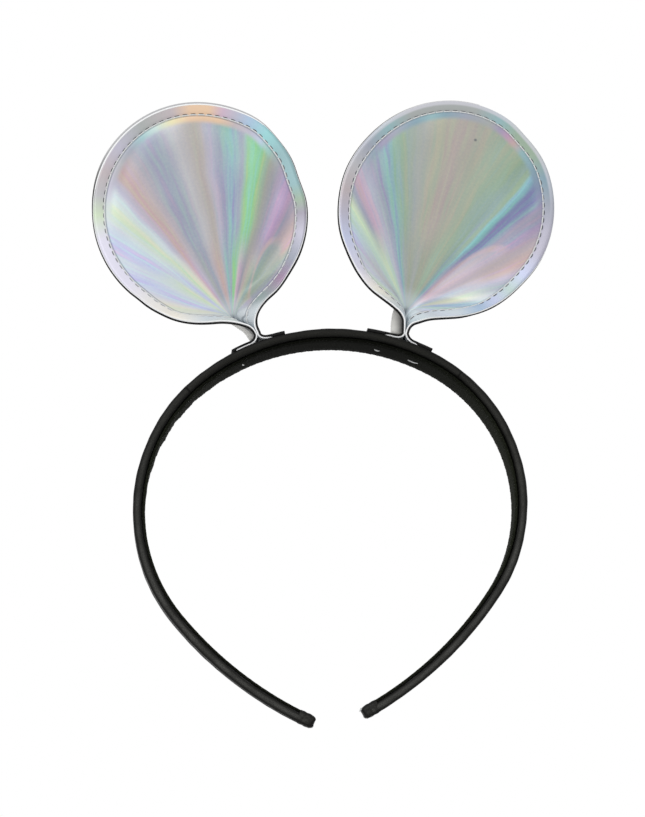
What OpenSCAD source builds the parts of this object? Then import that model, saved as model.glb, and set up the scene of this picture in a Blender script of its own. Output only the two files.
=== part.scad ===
// Animal ears headband: a spring band covered in black satin, with two round
// ears whose necks are pinched and stitched to the crown of the band.
// +Z is up, +X is to the viewer's right and -Y is the front. The origin lies
// on the lining at the middle of the crown, where the band sits on a head.

/* [Band outline] */
// Radius of the crown, at the outer face
crown_r = 75.4; // [72:0.2:79]
// Turn from the middle of the crown to the left shoulder, in degrees
left_crown_turn = 35.5; // [33:0.5:38]
// Turn from the middle of the crown to the right shoulder, in degrees
right_crown_turn = 32; // [31.5:0.5:38]
// Radius of the left shoulder
left_shoulder_r = 60.4; // [56:0.2:65]
// Radius of the right shoulder
right_shoulder_r = 58; // [54:0.2:63]
// Turn where the left shoulder runs into the straighter lower arm
left_shoulder_turn = 126.5; // [118:0.5:132]
// Turn where the right shoulder runs into the straighter lower arm
right_shoulder_turn = 127.5; // [118:0.5:132]
// Radius of the lower arms
arm_r = 131; // [110:1:160]
// Turn at the left tip
left_tip_turn = 152; // [146:0.5:156]
// Turn at the right tip
right_tip_turn = 155; // [146:0.5:158]

/* [Band section] */
// Width of the band at the crown, front to back
crown_w = 17; // [14:0.5:22]
// Width of the band at the tips
tip_w = 6; // [5.5:0.25:9]
// Drop below the crown at which the band starts to narrow
taper_drop = 8; // [2:1:30]
// Thickness of the satin cover
cover_t = 0.6; // [0.4:0.1:1]
// Thickness of the plastic spring core
core_t = 2; // [1.4:0.1:3]
// Width of the cover's edge that is folded in under the core
fold_w = 1.6; // [1:0.1:1.7]
// Thickness of the lining ribbon
lining_t = 0.6; // [0.4:0.1:1.2]
// Distance from the band's edge to the lining's edge
lining_inset = 1; // [0.6:0.1:1.6]

/* [Tips] */
// Length of the cap over each tip
cap_len = 5; // [4:0.5:10]
// Wall of the tip caps
cap_t = 0.3; // [0.2:0.05:0.5]
// Radius of the tip cap's rounded nose
cap_nose_r = 3.8; // [3.7:0.1:4.6]
// Distance from the band's end back to the centre of that nose
cap_nose_back = 3; // [2.6:0.1:3]

/* [Arm joints] */
// Turn at which each arm bends away from the crown
hinge_turn = 50; // [44:1:70]
// Gap between the two sides of each joint
joint_gap = 0.15; // [0.1:0.05:0.25]

/* [Ears] */
// Turn of the left ear's neck from the middle of the crown
left_neck_turn = 17.5; // [16:0.5:19]
// Turn of the right ear's neck from the middle of the crown
right_neck_turn = 22.5; // [21:0.5:23.5]
// Lean of the left ear from upright
left_lean = 19.5; // [17:0.5:21]
// Lean of the right ear from upright
right_lean = 20.5; // [19:0.5:23]
// Width of each ear
ear_w = 77; // [70:1:80]
// Height of each ear's round part
ear_h = 84; // [76:1:86]
// Distance from the neck to the middle of the round part
ear_reach = 50.4; // [49:0.2:54]
// Thickness of the front layer, holographic film on white backing
front_t = 0.6; // [0.4:0.1:0.8]
// Thickness of the black back layer
back_t = 0.6; // [0.4:0.1:0.8]
// Depth of the fold at the neck, front to back
fold_depth = 12; // [9:0.5:13]
// Distance that the neck's front edges lie in front of the band's middle
neck_forward = 7.2; // [5:0.2:8]
// Distance that the ear's top lies in front of the band's middle
top_forward = 1; // [0:0.5:3]
// Gap between the pinched halves of the front layer
pinch_gap = 0.1; // [0.1:0.05:0.2]

/* [Tabs] */
// Inner radius of the curl that turns a neck into its tab
curl_r = 1.8; // [1.8:0.1:3]
// Length of a tab along the band
tab_len = 9.7; // [7:0.1:10.4]
// Length of the right ear's tab that points to the middle
long_tab_len = 14; // [10:0.5:16]
// Thickness of the glue under the tabs
glue_t = 0.15; // [0.1:0.05:0.3]
// Distance that the glue stays in from the tabs' edges
glue_inset = 0.5; // [0.3:0.1:1]

/* [Stitches] */
// Diameter of the topstitching thread
thread_d = 0.45; // [0.3:0.05:0.6]
// Distance from the ear's edge to the topstitching
seam_inset = 3.9; // [3:0.1:6]
// Distance from one stitch to the next
stitch_pitch = 2.9; // [2.6:0.1:4]
// Length of one stitch
stitch_len = 2.1; // [1.4:0.1:2.3]
// Diameter of the tack thread
tack_d = 0.5; // [0.3:0.05:0.7]
// Length of one tack stitch
tack_len = 2.4; // [1.5:0.1:3]
// Distance from a neck to its tack stitches, along the band
tack_reach = 5.5; // [4.5:0.5:7]

/* [Hidden] */
$fn = 96;
LEFT = 0;
RIGHT = 1;
far = 400;          // reaches past the whole band
seat_gap = 0.03;    // keeps curved faces and stitches just clear of what they lie on
cap_gap = 0.05;     // gap between a tip cap's walls and the band
knuckle_grow = 0.05; // how far each arm's round end stands out from the band's faces
point_w = 0.2;      // half width at which the sides of the taper stop short of meeting

// Depths of the layers, measured in from the band's outer face
core_in = cover_t;
fold_in = core_in + core_t;
lining_in = fold_in + cover_t;
band_t = lining_in + lining_t;
glue_edge = cover_t + fold_w;

// The outline, as three tangent arcs a side: crown, shoulder and lower arm
function arc_r(side, i) = [crown_r, side == LEFT ? left_shoulder_r : right_shoulder_r, arm_r][i];
function arc_turn(side, i) = side == LEFT
    ? [left_crown_turn, left_shoulder_turn, left_tip_turn][i]
    : [right_crown_turn, right_shoulder_turn, right_tip_turn][i];
function out_dir(turn) = [sin(turn), cos(turn)];
function arc_centre(side, i) = i == 0 ? [0, band_t - crown_r]
    : arc_centre(side, i - 1) + (arc_r(side, i - 1) - arc_r(side, i)) * out_dir(arc_turn(side, i - 1));
function arc_at(side, turn) = turn < arc_turn(side, 0) ? 0 : turn < arc_turn(side, 1) ? 1 : 2;
function band_point(side, turn, depth) =
    let (i = arc_at(side, turn)) arc_centre(side, i) + (arc_r(side, i) - depth) * out_dir(turn);
function along_arm(len) = len / arm_r * 180 / PI;
function tip_turn(side) = arc_turn(side, 2);
function tip_z(side) = band_point(side, tip_turn(side), 0)[1];
function mirrored(points) = [for (k = [len(points) - 1 : -1 : 0]) [-points[k][0], points[k][1]]];
function turned(points) = [for (k = [len(points) - 1 : -1 : 0]) points[k]];

// Points along one side of the outline at a depth, from one turn to another
turn_step = 2.5;
function run(side, depth, turn0, turn1) =
    let (steps = ceil((turn1 - turn0) / turn_step))
    [for (k = [0 : steps]) band_point(side, turn0 + (turn1 - turn0) * k / steps, depth)];

// Joints: each arm's round end turns in a socket in the crown
knuckle_r = band_t / 2 + knuckle_grow;
socket_r = knuckle_r + joint_gap;
function hinge_point(side) = band_point(side, hinge_turn, band_t / 2);

// The crown's layer between two depths, with the joints' sockets
module crown_flat(d0, d1) {
    difference() {
        polygon(concat(
            mirrored(run(LEFT, d0, 0, hinge_turn)), run(RIGHT, d0, turn_step, hinge_turn),
            turned(run(RIGHT, d1, turn_step, hinge_turn)), turned(mirrored(run(LEFT, d1, 0, hinge_turn)))));
        for (side = [LEFT, RIGHT]) on_side_flat(side)
            translate(hinge_point(side)) circle(socket_r);
    }
}

// An arm's layer between two depths, with its round end
module arm_flat(side, d0, d1) {
    difference() {
        polygon(concat(run(side, d0, hinge_turn - turn_step, tip_turn(side)),
                       turned(run(side, d1, hinge_turn - turn_step, tip_turn(side)))));
        translate(hinge_point(side)) difference() {
            rotate(-hinge_turn) translate([-2 * band_t, -band_t]) square(2 * band_t);
            circle(knuckle_r);
        }
    }
}

// The band's width seen from the side, set in from each edge and narrowing to the tips
module taper(side, inset) {
    top = crown_w / 2 - inset;
    start = band_t - taper_drop;
    slope = (crown_w - tip_w) / 2 / (start - tip_z(side));
    end = start - (top - point_w) / slope;
    low = max(end, -far / 2);
    rotate([90, 0, 90]) linear_extrude(far, center = true)
        polygon([[-top, far / 4], [-top, start], [slope * (start - low) - top, low],
                 [top - slope * (start - low), low], [top, start], [top, far / 4]]);
}

module on_side(side) {
    mirror([side == LEFT ? 1 : 0, 0, 0]) children();
}

module on_side_flat(side) {
    mirror([side == LEFT ? 1 : 0, 0]) children();
}

module upright(depth = crown_w + 2) {
    rotate([90, 0, 0]) linear_extrude(depth, center = true) children();
}

// One layer of the crown, cut to its width
module crown_layer(d0, d1, inset) {
    intersection() {
        upright() crown_flat(d0, d1);
        taper(LEFT, inset);
    }
}

// One layer of an arm, cut to its width
module arm_layer(side, d0, d1, inset) {
    on_side(side) intersection() {
        upright() arm_flat(side, d0, d1);
        taper(side, inset);
    }
}

module band_core_crown() {
    color("dimgray") crown_layer(core_in, fold_in, cover_t);
}

module band_core_arm(side) {
    color("dimgray") arm_layer(side, core_in, fold_in, cover_t);
}

// The cover wraps the core and folds in under both of its edges
module band_cover_crown() {
    color([0.09, 0.09, 0.1]) difference() {
        crown_layer(0, lining_in, 0);
        crown_layer(core_in, fold_in, cover_t);
        crown_layer(fold_in, lining_in, glue_edge);
    }
}

module band_cover_arm(side) {
    color([0.09, 0.09, 0.1]) difference() {
        arm_layer(side, 0, lining_in, 0);
        arm_layer(side, core_in, fold_in, cover_t);
        arm_layer(side, fold_in, lining_in, glue_edge);
    }
}

module fold_glue_crown() {
    color("khaki") crown_layer(fold_in, lining_in, glue_edge);
}

module fold_glue_arm(side) {
    color("khaki") arm_layer(side, fold_in, lining_in, glue_edge);
}

module lining_crown() {
    color([0.2, 0.21, 0.2]) crown_layer(lining_in, band_t, lining_inset);
}

module lining_arm(side) {
    color([0.2, 0.21, 0.2]) arm_layer(side, lining_in, band_t, lining_inset);
}

// A cap with a rounded nose, slipped over the end of an arm
module tip_cap(side) {
    end = tip_turn(side);
    start = end - along_arm(cap_len);
    nose = end - along_arm(cap_nose_back);
    past = end + along_arm(2 * cap_nose_r);
    color([0.07, 0.07, 0.08]) on_side(side) difference() {
        intersection() {
            upright() difference() {
                polygon(concat(run(side, -cap_t, start, past), turned(run(side, band_t + cap_t, start, past))));
                translate(band_point(side, nose, band_t / 2)) difference() {
                    rotate(-nose) translate([0, -far / 2]) square(far);
                    circle(cap_nose_r);
                }
            }
            taper(side, -cap_t);
        }
        intersection() {
            upright() polygon(concat(run(side, -cap_gap, start - 1, end),
                                     turned(run(side, band_t + cap_gap, start - 1, end))));
            taper(side, -cap_gap);
        }
    }
}

// ---- Ears ----
// Each ear has its own upright frame: its origin is the middle of the neck,
// its hinge line runs front to back, and the ear rises along +Z.
leaf_t = front_t + back_t;
neck_half = pinch_gap / 2 + leaf_t;
curl_out = curl_r + leaf_t;
bed_r = crown_r + glue_t + seat_gap;
curl_turn = asin(curl_out / (bed_r + curl_out));
neck_rise = (bed_r + curl_out) * cos(curl_turn);
neck_cut_r = neck_half + 2 * joint_gap;
ear_top = ear_reach + ear_h / 2;
tab_back = fold_depth - neck_forward;
function neck_turn(side) = side == LEFT ? left_neck_turn : right_neck_turn;
function lean(side) = side == LEFT ? left_lean : right_lean;

// Places a child drawn in an ear's frame, rolled to a given lean
module at_neck(side, roll) {
    on_side(side) translate([0, 0, band_t - crown_r])
        rotate([0, neck_turn(side), 0]) translate([0, 0, neck_rise])
            rotate([0, roll - neck_turn(side), 0]) children();
}

// Front outline of the right half, from the neck up: a flare, then the round part
flare_h = 16;       // height at which the flare meets the round part
neck_stem = 1.5;    // height of the stem under the flare
stem_pull = 3.5;    // how far the flare keeps the stem's direction
join_pull = 9;      // how far the flare keeps the round part's direction
top_angle = 2;      // angle from the top at which the round part ends
function round_half(z) = ear_w / 2 * sqrt(max(0, 1 - pow((z - ear_reach) / (ear_h / 2), 2)));
flare_turn = atan2(ear_w / ear_h * (ear_reach - flare_h) / (ear_h / 2),
                   sqrt(1 - pow((ear_reach - flare_h) / (ear_h / 2), 2)));
mid_half = pinch_gap / 2 + front_t;
function flare_point(t) =
    let (a = [mid_half, neck_stem], b = [mid_half, neck_stem + stem_pull],
         d = [round_half(flare_h), flare_h], c = d - join_pull * [sin(flare_turn), cos(flare_turn)])
    pow(1 - t, 3) * a + 3 * pow(1 - t, 2) * t * b + 3 * (1 - t) * t * t * c + pow(t, 3) * d;
flare_steps = 6;
round_steps = 15;
join_angle = acos((flare_h - ear_reach) / (ear_h / 2));
function round_point(angle) = [ear_w / 2 * sin(angle), ear_reach + ear_h / 2 * cos(angle)];
outline = concat([[mid_half, 0]],
    [for (k = [0 : flare_steps - 1]) flare_point(k / flare_steps)],
    [for (k = [0 : round_steps]) round_point(join_angle + (top_angle - join_angle) * sin(90 * k / round_steps))]);

// How far the fold reaches back at a height, and where the front edges lie
fold_fade = 1.5;    // power with which the fold runs out towards the top
edge_fade = 2;      // power with which the front edges swing back
fold_open = 0.7;    // growth of the fold's radius with height
fold_share = 0.98;  // largest fold radius, as a share of one that fills the whole width
function fold_at(z) = fold_depth * pow(max(0, 1 - z / ear_top), fold_fade);
function edge_y(z) = -top_forward - (neck_forward - top_forward) * pow(max(0, 1 - z / ear_top), edge_fade);
function fold_r(z) = mid_half + fold_open * z;

// A level of the ear: a round fold at the back with two straight wings
// running forward to the edges. A point on it is picked by t from 0 at the
// fold to 1 at the edge, and set back from the middle surface by k.
function wing(half, z) =
    let (d = fold_at(z), r = min(fold_r(z), fold_share * (half * half + d * d) / (2 * max(d, 0.001))),
         m = norm([half, d - r]), a = atan2(d - r, half) - acos(min(1, r / m)))
    [r, a, sqrt(max(0, m * m - r * r)), edge_y(z) + d];
function leaf_point(half, z, t, k) =
    let (w = wing(half, z), r = w[0], arc = (w[1] + 90) * PI / 180 * r, s = t * (arc + w[2]),
         a = s < arc ? -90 + s / r * 180 / PI : w[1], past = max(0, s - arc))
    [(r + k) * cos(a) - past * sin(a), w[3] - r - (r + k) * sin(a) - past * cos(a), z];

columns = 9;
function leaf_row(p, k) =
    [for (j = [-columns : columns]) let (q = leaf_point(p[0], p[1], abs(j) / columns, k))
        [j < 0 ? -q[0] : q[0], q[1], q[2]]];

// A closed skin between two settings-back of the middle surface
module leaf_skin(k0, k1) {
    rows = len(outline);
    cols = 2 * columns + 1;
    points = [for (k = [k0, k1]) for (p = outline) each leaf_row(p, k)];
    function at(layer, i, j) = (layer * rows + i) * cols + j;
    front = [for (i = [0 : rows - 2]) for (j = [0 : cols - 2])
        each [[at(0, i, j), at(0, i + 1, j), at(0, i + 1, j + 1)],
              [at(0, i, j), at(0, i + 1, j + 1), at(0, i, j + 1)]]];
    back = [for (i = [0 : rows - 2]) for (j = [0 : cols - 2])
        each [[at(1, i, j), at(1, i + 1, j + 1), at(1, i + 1, j)],
              [at(1, i, j), at(1, i, j + 1), at(1, i + 1, j + 1)]]];
    sides = [for (i = [0 : rows - 2])
        each [[at(0, i, 0), at(1, i, 0), at(1, i + 1, 0)],
              [at(0, i, 0), at(1, i + 1, 0), at(0, i + 1, 0)],
              [at(0, i, cols - 1), at(1, i + 1, cols - 1), at(1, i, cols - 1)],
              [at(0, i, cols - 1), at(0, i + 1, cols - 1), at(1, i + 1, cols - 1)]]];
    ends = [for (j = [0 : cols - 2])
        each [[at(0, 0, j), at(1, 0, j + 1), at(1, 0, j)],
              [at(0, 0, j), at(0, 0, j + 1), at(1, 0, j + 1)],
              [at(0, rows - 1, j), at(1, rows - 1, j), at(1, rows - 1, j + 1)],
              [at(0, rows - 1, j), at(1, rows - 1, j + 1), at(0, rows - 1, j + 1)]]];
    polyhedron(points, concat(front, back, sides, ends));
}

module ear_front(side) {
    color([0.76, 0.78, 0.8]) at_neck(side, lean(side)) leaf_skin(-front_t, 0);
}

module ear_back(side) {
    color([0.08, 0.08, 0.09]) at_neck(side, lean(side)) leaf_skin(0, back_t);
}

// Straight stitches laid end to end around the front of the ear
seam_w = ear_w / 2 - seam_inset;
seam_h = ear_h / 2 - seam_inset;
seam_end = 142;     // angle from the top at which the seam runs into the neck
thread_lift = 0.32; // how far the ends of a straight stitch stand off the curved film
seam_steps = 2 * floor(seam_end / 180 * PI * (seam_w + seam_h) / 2 / stitch_pitch);
function seam_point(angle) =
    let (x = abs(seam_w * sin(angle)), z = ear_reach + seam_h * cos(angle), half = round_half(z),
         w = wing(half, z), r = w[0] - front_t, a = w[1], turn = [r * cos(a), r * sin(a)],
         y = x < turn[0] ? w[3] - w[0] + sqrt(max(0, r * r - x * x))
             : w[3] - w[0] - turn[1] - (x - turn[0]) * cos(a) / max(0.01, -sin(a)))
    [seam_w * sin(angle), y - thread_d / 2 - thread_lift, z];

module ear_stitching(side) {
    color("gainsboro") at_neck(side, lean(side))
        for (i = [0 : seam_steps]) {
            angle = seam_end * (2 * i / seam_steps - 1);
            step = seam_end / seam_steps / 2 * stitch_len / stitch_pitch;
            p = seam_point(angle - step);
            q = seam_point(angle + step);
            v = q - p;
            translate((p + q) / 2) rotate([0, acos(v[2] / norm(v)), atan2(v[1], v[0])])
                cylinder(h = stitch_len, d = thread_d, center = true, $fn = 16);
        }
}

// ---- Tabs: each half of the neck curls over and lies along the crown ----
function inner_tab(side) = side == LEFT ? tab_len : long_tab_len;
crown_deg = 180 / PI / crown_r;

// One layer of one tab: the curl, then the run along the crown, between two
// heights over the face that lies on the glue
function tab_run(len, d) = concat(
    [for (a = [180 : 10 : 260]) [curl_out, 0] + (curl_out - d) * [cos(a), sin(a)]],
    [for (k = [0 : 4]) let (turn = curl_turn + (len * crown_deg - curl_turn) * k / 4)
        [0, -neck_rise] + (bed_r + d) * out_dir(turn)]);
module tab_flat(len, d0, d1) {
    difference() {
        polygon(concat(tab_run(len, d0), turned(tab_run(len, d1))));
        circle(neck_cut_r);
    }
}

module tab_layer(side, d0, d1) {
    at_neck(side, neck_turn(side)) translate([0, tab_back - fold_depth / 2, 0]) {
        upright(fold_depth) tab_flat(tab_len, d0, d1);
        mirror([1, 0, 0]) upright(fold_depth) tab_flat(inner_tab(side), d0, d1);
    }
}

module ear_front_tabs(side) {
    color("white") tab_layer(side, 0, front_t);
}

module ear_back_tabs(side) {
    color([0.08, 0.08, 0.09]) tab_layer(side, front_t, leaf_t);
}

module glue_flat(len) {
    middle = [0, -neck_rise];
    intersection() {
        translate(middle) difference() {
            circle(bed_r - seat_gap);
            circle(crown_r);
        }
        polygon([middle, middle + 2 * bed_r * out_dir(curl_turn),
                 middle + 2 * bed_r * out_dir((len - glue_inset) * crown_deg)]);
    }
}

module tab_glue(side) {
    color("khaki") at_neck(side, neck_turn(side)) translate([0, tab_back - fold_depth / 2, 0]) {
        upright(fold_depth - 2 * glue_inset) glue_flat(tab_len);
        mirror([1, 0, 0]) upright(fold_depth - 2 * glue_inset) glue_flat(inner_tab(side));
    }
}

// White tack stitches that hold the tabs, seen on the lining
module ear_tacks(side) {
    color("white") for (reach = [-tack_reach, tack_reach])
        on_side(side) translate([0, 0, band_t - crown_r])
            rotate([0, neck_turn(side) + reach * crown_deg, 0])
                translate([0, 0, crown_r - band_t - tack_d / 2 - seat_gap])
                    rotate([0, 90, 0]) cylinder(h = tack_len, d = tack_d, center = true, $fn = 16);
}

band_core_crown();
band_core_arm(LEFT);  // band_core_left
band_core_arm(RIGHT);  // band_core_right
band_cover_crown();
band_cover_arm(LEFT);  // band_cover_left
band_cover_arm(RIGHT);  // band_cover_right
fold_glue_crown();
fold_glue_arm(LEFT);  // fold_glue_left
fold_glue_arm(RIGHT);  // fold_glue_right
lining_crown();
lining_arm(LEFT);  // lining_left
lining_arm(RIGHT);  // lining_right
tip_cap(LEFT);  // tip_cap_left
tip_cap(RIGHT);  // tip_cap_right
ear_front(LEFT);  // left_ear_front
ear_back(LEFT);  // left_ear_back
ear_stitching(LEFT);  // left_ear_stitching
ear_front_tabs(LEFT);  // left_ear_front_tabs
ear_back_tabs(LEFT);  // left_ear_back_tabs
tab_glue(LEFT);  // left_tab_glue
ear_tacks(LEFT);  // left_ear_tacks
ear_front(RIGHT);  // right_ear_front
ear_back(RIGHT);  // right_ear_back
ear_stitching(RIGHT);  // right_ear_stitching
ear_front_tabs(RIGHT);  // right_ear_front_tabs
ear_back_tabs(RIGHT);  // right_ear_back_tabs
tab_glue(RIGHT);  // right_tab_glue
ear_tacks(RIGHT);  // right_ear_tacks
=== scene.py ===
# %% [markdown]
# # A headband with round, pinched ears
# The real thing is a springy plastic strip sewn into black satin, with two round ears of glossy rainbow film
# on the crown. Each ear is one flat shape: its lower end is folded in half, front to back, and its two halves
# turn out over the band as tabs. The solids that carry and move everything come ready made, and this lesson
# dresses them in cloth, film and thread.

# %% Load the frame
import math

import bpy
import numpy as np
from mathutils import Matrix, Vector
from mathutils.bvhtree import BVHTree
from mathutils.kdtree import KDTree


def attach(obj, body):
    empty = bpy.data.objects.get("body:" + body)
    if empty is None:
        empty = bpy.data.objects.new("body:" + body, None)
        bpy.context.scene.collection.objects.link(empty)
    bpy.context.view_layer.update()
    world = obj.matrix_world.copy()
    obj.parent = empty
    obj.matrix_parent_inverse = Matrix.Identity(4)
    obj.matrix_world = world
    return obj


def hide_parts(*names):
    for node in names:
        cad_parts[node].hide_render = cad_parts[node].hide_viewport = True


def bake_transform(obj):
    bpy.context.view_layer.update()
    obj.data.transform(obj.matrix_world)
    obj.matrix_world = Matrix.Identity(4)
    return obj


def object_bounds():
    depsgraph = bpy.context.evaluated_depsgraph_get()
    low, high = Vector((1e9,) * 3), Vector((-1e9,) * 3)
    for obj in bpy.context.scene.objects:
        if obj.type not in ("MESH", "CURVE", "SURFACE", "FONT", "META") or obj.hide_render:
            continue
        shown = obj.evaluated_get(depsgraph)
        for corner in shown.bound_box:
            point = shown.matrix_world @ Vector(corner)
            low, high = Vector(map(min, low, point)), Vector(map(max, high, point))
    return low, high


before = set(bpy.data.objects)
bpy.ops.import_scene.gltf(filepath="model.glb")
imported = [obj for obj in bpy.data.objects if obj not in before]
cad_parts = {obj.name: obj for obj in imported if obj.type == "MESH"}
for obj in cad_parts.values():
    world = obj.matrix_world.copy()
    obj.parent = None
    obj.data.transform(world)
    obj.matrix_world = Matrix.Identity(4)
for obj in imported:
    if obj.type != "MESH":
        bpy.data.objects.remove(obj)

cad_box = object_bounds()
print("solid model from", [round(c, 4) for c in cad_box[0]], "to", [round(c, 4) for c in cad_box[1]])

# %% [markdown]
# ## Camera
# A small soft object is best shown from well back through a long lens, so that near and far parts keep their
# sizes. The camera stands a little to the left and below the middle, and looks slightly up at the ears.

# %% Camera
MM = 0.001
CAMERA_AT = (-66.17, -695.23, -176.75)   # millimetres
CAMERA_TURN = (5.326, 12.428, -4)        # heading, rise and tilt in degrees


def look(yaw, pitch, roll):
    """The camera's turn as a matrix, from its heading, its rise and its tilt in degrees."""
    yaw, pitch, roll = (math.radians(a) for a in (yaw, pitch, roll))
    ahead = Vector((math.sin(yaw) * math.cos(pitch), math.cos(yaw) * math.cos(pitch), math.sin(pitch)))
    level = Vector((math.cos(yaw), -math.sin(yaw), 0))
    above = level.cross(ahead)
    right = math.cos(roll) * level + math.sin(roll) * above
    up = math.cos(roll) * above - math.sin(roll) * level
    return Matrix((right, up, -ahead)).transposed()


lens = bpy.data.cameras.new("camera")
lens.lens, lens.sensor_width = 89.82, 36
camera = bpy.data.objects.new("camera", lens)
camera.matrix_world = Matrix.Translation(Vector(CAMERA_AT) * MM) @ look(*CAMERA_TURN).to_4x4()
bpy.context.scene.collection.objects.link(camera)
bpy.context.scene.camera = camera
bpy.context.scene.view_settings.view_transform = "Standard"
print("camera", [round(c, 3) for c in camera.location])

# %% [markdown]
# ## Building shader trees by hand
# Every finish here is a tree of nodes. One short helper adds a node and fills its sockets, with either plain
# values or the outputs of other nodes, so that each recipe below reads from top to bottom.


# %% Shader helpers
def tint(red, green, blue):
    """A colour given as a painter's 0 to 255 values, as Blender's linear light."""
    return tuple(c / 12.92 if c <= 0.04045 else ((c + 0.055) / 1.055) ** 2.4
                 for c in (red / 255, green / 255, blue / 255)) + (1,)


def step(finish, kind, sockets=None, **settings):
    """Adds one node to a finish. sockets gives values or links by socket name or number."""
    node = finish.node_tree.nodes.new("ShaderNode" + kind)
    for key, value in settings.items():
        setattr(node, key, value)
    for key, value in (sockets or {}).items():
        if isinstance(value, bpy.types.NodeSocket):
            finish.node_tree.links.new(value, node.inputs[key])
        else:
            node.inputs[key].default_value = value
    return node


def surface(finish, **sockets):
    """Fills the main shader's sockets; an underscore in a name stands for a space."""
    shader = finish.node_tree.nodes["Principled BSDF"]
    for key, value in sockets.items():
        socket = shader.inputs[key.replace("_", " ")]
        if isinstance(value, bpy.types.NodeSocket):
            finish.node_tree.links.new(value, socket)
        else:
            socket.default_value = value


def new_finish(name):
    """An empty finish with Blender's main shader."""
    finish = bpy.data.materials.new(name)
    finish.use_nodes = True
    return finish


def ramp(finish, factor, stops):
    """A colour ramp: stops is a list of (place, colour), or of (place, number) for greys."""
    node = step(finish, "ValToRGB", {"Fac": factor})
    band = node.color_ramp
    while len(band.elements) < len(stops):
        band.elements.new(0.5)
    for element, (place, colour) in zip(band.elements, stops):
        element.position = place
        element.color = colour if isinstance(colour, tuple) else (colour, colour, colour, 1)
    return node.outputs["Color"]


print("a painter's mid grey is", round(tint(128, 128, 128)[0], 3), "in linear light")

# %% [markdown]
# ## Arithmetic with nodes
# Patterns need sums, products and soft steps between two values. Written with raw nodes they fill the page, so
# each gets a tiny function with a plain name. Every piece of cloth also carries a map in millimetres, which
# another helper reads.


# %% Arithmetic helpers
def math_node(finish, operation, a, b=0.0):
    """One step of arithmetic on numbers or on other nodes' outputs."""
    return step(finish, "Math", {0: a, 1: b}, operation=operation).outputs[0]


def plus(finish, a, b):
    """The sum of two numbers."""
    return math_node(finish, "ADD", a, b)


def minus(finish, a, b):
    """The first number less the second."""
    return math_node(finish, "SUBTRACT", a, b)


def times(finish, *factors):
    """The product of two or more numbers."""
    product = factors[0]
    for factor in factors[1:]:
        product = math_node(finish, "MULTIPLY", product, factor)
    return product


def rise(finish, value, start, end):
    """0 before start, 1 after end, and straight between them."""
    return step(finish, "MapRange", {"Value": value, "From Min": start, "From Max": end}).outputs[0]


def fade(finish, value, start, end):
    """0 before start, 1 after end, and smooth between them."""
    return step(finish, "MapRange", {"Value": value, "From Min": start, "From Max": end},
                interpolation_type="SMOOTHSTEP").outputs[0]


print("arithmetic helpers:", ", ".join(f.__name__ for f in (plus, minus, times, rise, fade)))


# %% Colour and pattern helpers
def blend_colour(finish, share, first, second, how="MIX"):
    """The first colour with a share of the second laid over it."""
    return step(finish, "Mix", {0: share, 6: first, 7: second}, data_type="RGBA", blend_type=how).outputs[2]


def cloth_place(finish, layer="cloth"):
    """A point's place on the cloth: as a vector, and as its two numbers in millimetres."""
    place = step(finish, "UVMap", uv_map=layer).outputs[0]
    split = step(finish, "SeparateXYZ", {0: place}).outputs
    return place, split[0], split[1]


def noise(finish, place, scale, detail, **more):
    """Soft random blotches, scale of them to a unit of place."""
    return step(finish, "TexNoise", {"Vector": place, "Scale": scale, "Detail": detail, **more}).outputs[0]


def bump(finish, height, strength, distance):
    """Small relief that only bends the light."""
    return step(finish, "Bump", {"Height": height, "Strength": strength, "Distance": distance}).outputs[0]


print("pattern helpers:", ", ".join(f.__name__ for f in (blend_colour, cloth_place, noise, bump)))


# %% [markdown]
# ## Studio
# The headband is shown in a plain white studio. The world lights it evenly from all round, and one big soft lamp
# above and in front gives the forms a light side. What the camera and the glossy surfaces see of the world is
# full white, while the light that falls on cloth is a little lower, so that pale film keeps its colour.
# The floor lies a few millimetres under the tips, because they dip when the arms are pulled apart. It is clear
# from below, because the camera looks up from under it.

# %% Studio
world = bpy.data.worlds.new("studio")
bpy.context.scene.world = world
world.use_nodes = True
backdrop = world.node_tree.nodes["Background"]
backdrop.inputs["Color"].default_value = (1, 1, 1, 1)
path = step(world, "LightPath").outputs
seen = math_node(world, "MAXIMUM", path["Is Camera Ray"], path["Is Transmission Ray"])
seen = math_node(world, "MAXIMUM", seen, path["Is Glossy Ray"])
strength = step(world, "Mix", {0: seen, 2: 0.62, 3: 1.0})    # what lights the cloth, and what is seen
world.node_tree.links.new(strength.outputs[0], backdrop.inputs["Strength"])

key = bpy.data.lights.new("key", "AREA")
key.shape, key.size, key.size_y, key.energy = "RECTANGLE", 0.7, 0.5, 4.5
key_lamp = bpy.data.objects.new("key", key)
key_lamp.location = (-0.35, -0.75, 0.65)
key_lamp.rotation_euler = (Vector((0, 0, -0.02)) - key_lamp.location).to_track_quat("-Z", "Y").to_euler()
bpy.context.scene.collection.objects.link(key_lamp)
print("one lamp of", key.energy, "watts and a white world")

# %% Floor
floor_finish = new_finish("pale floor")
surface(floor_finish, Base_Color=(0.92, 0.92, 0.92, 1), Roughness=0.8)
clear = step(floor_finish, "BsdfTransparent")
under = step(floor_finish, "NewGeometry")
one_sided = step(floor_finish, "MixShader", {
    0: under.outputs["Backfacing"], 1: floor_finish.node_tree.nodes["Principled BSDF"].outputs[0],
    2: clear.outputs[0]})
floor_finish.node_tree.links.new(one_sided.outputs[0], floor_finish.node_tree.nodes["Material Output"].inputs[0])
floor_mesh = bpy.data.meshes.new("floor")
TIP_DIP = 0.0068                  # metres that the tips sink when the arms spread
FAR = 12                          # metres to the floor's edges
low = cad_box[0][2] - TIP_DIP
floor_mesh.from_pydata([(-FAR, -FAR, low), (FAR, -FAR, low), (FAR, FAR, low), (-FAR, FAR, low)], [], [(0, 1, 2, 3)])
floor_mesh.materials.append(floor_finish)
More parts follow.
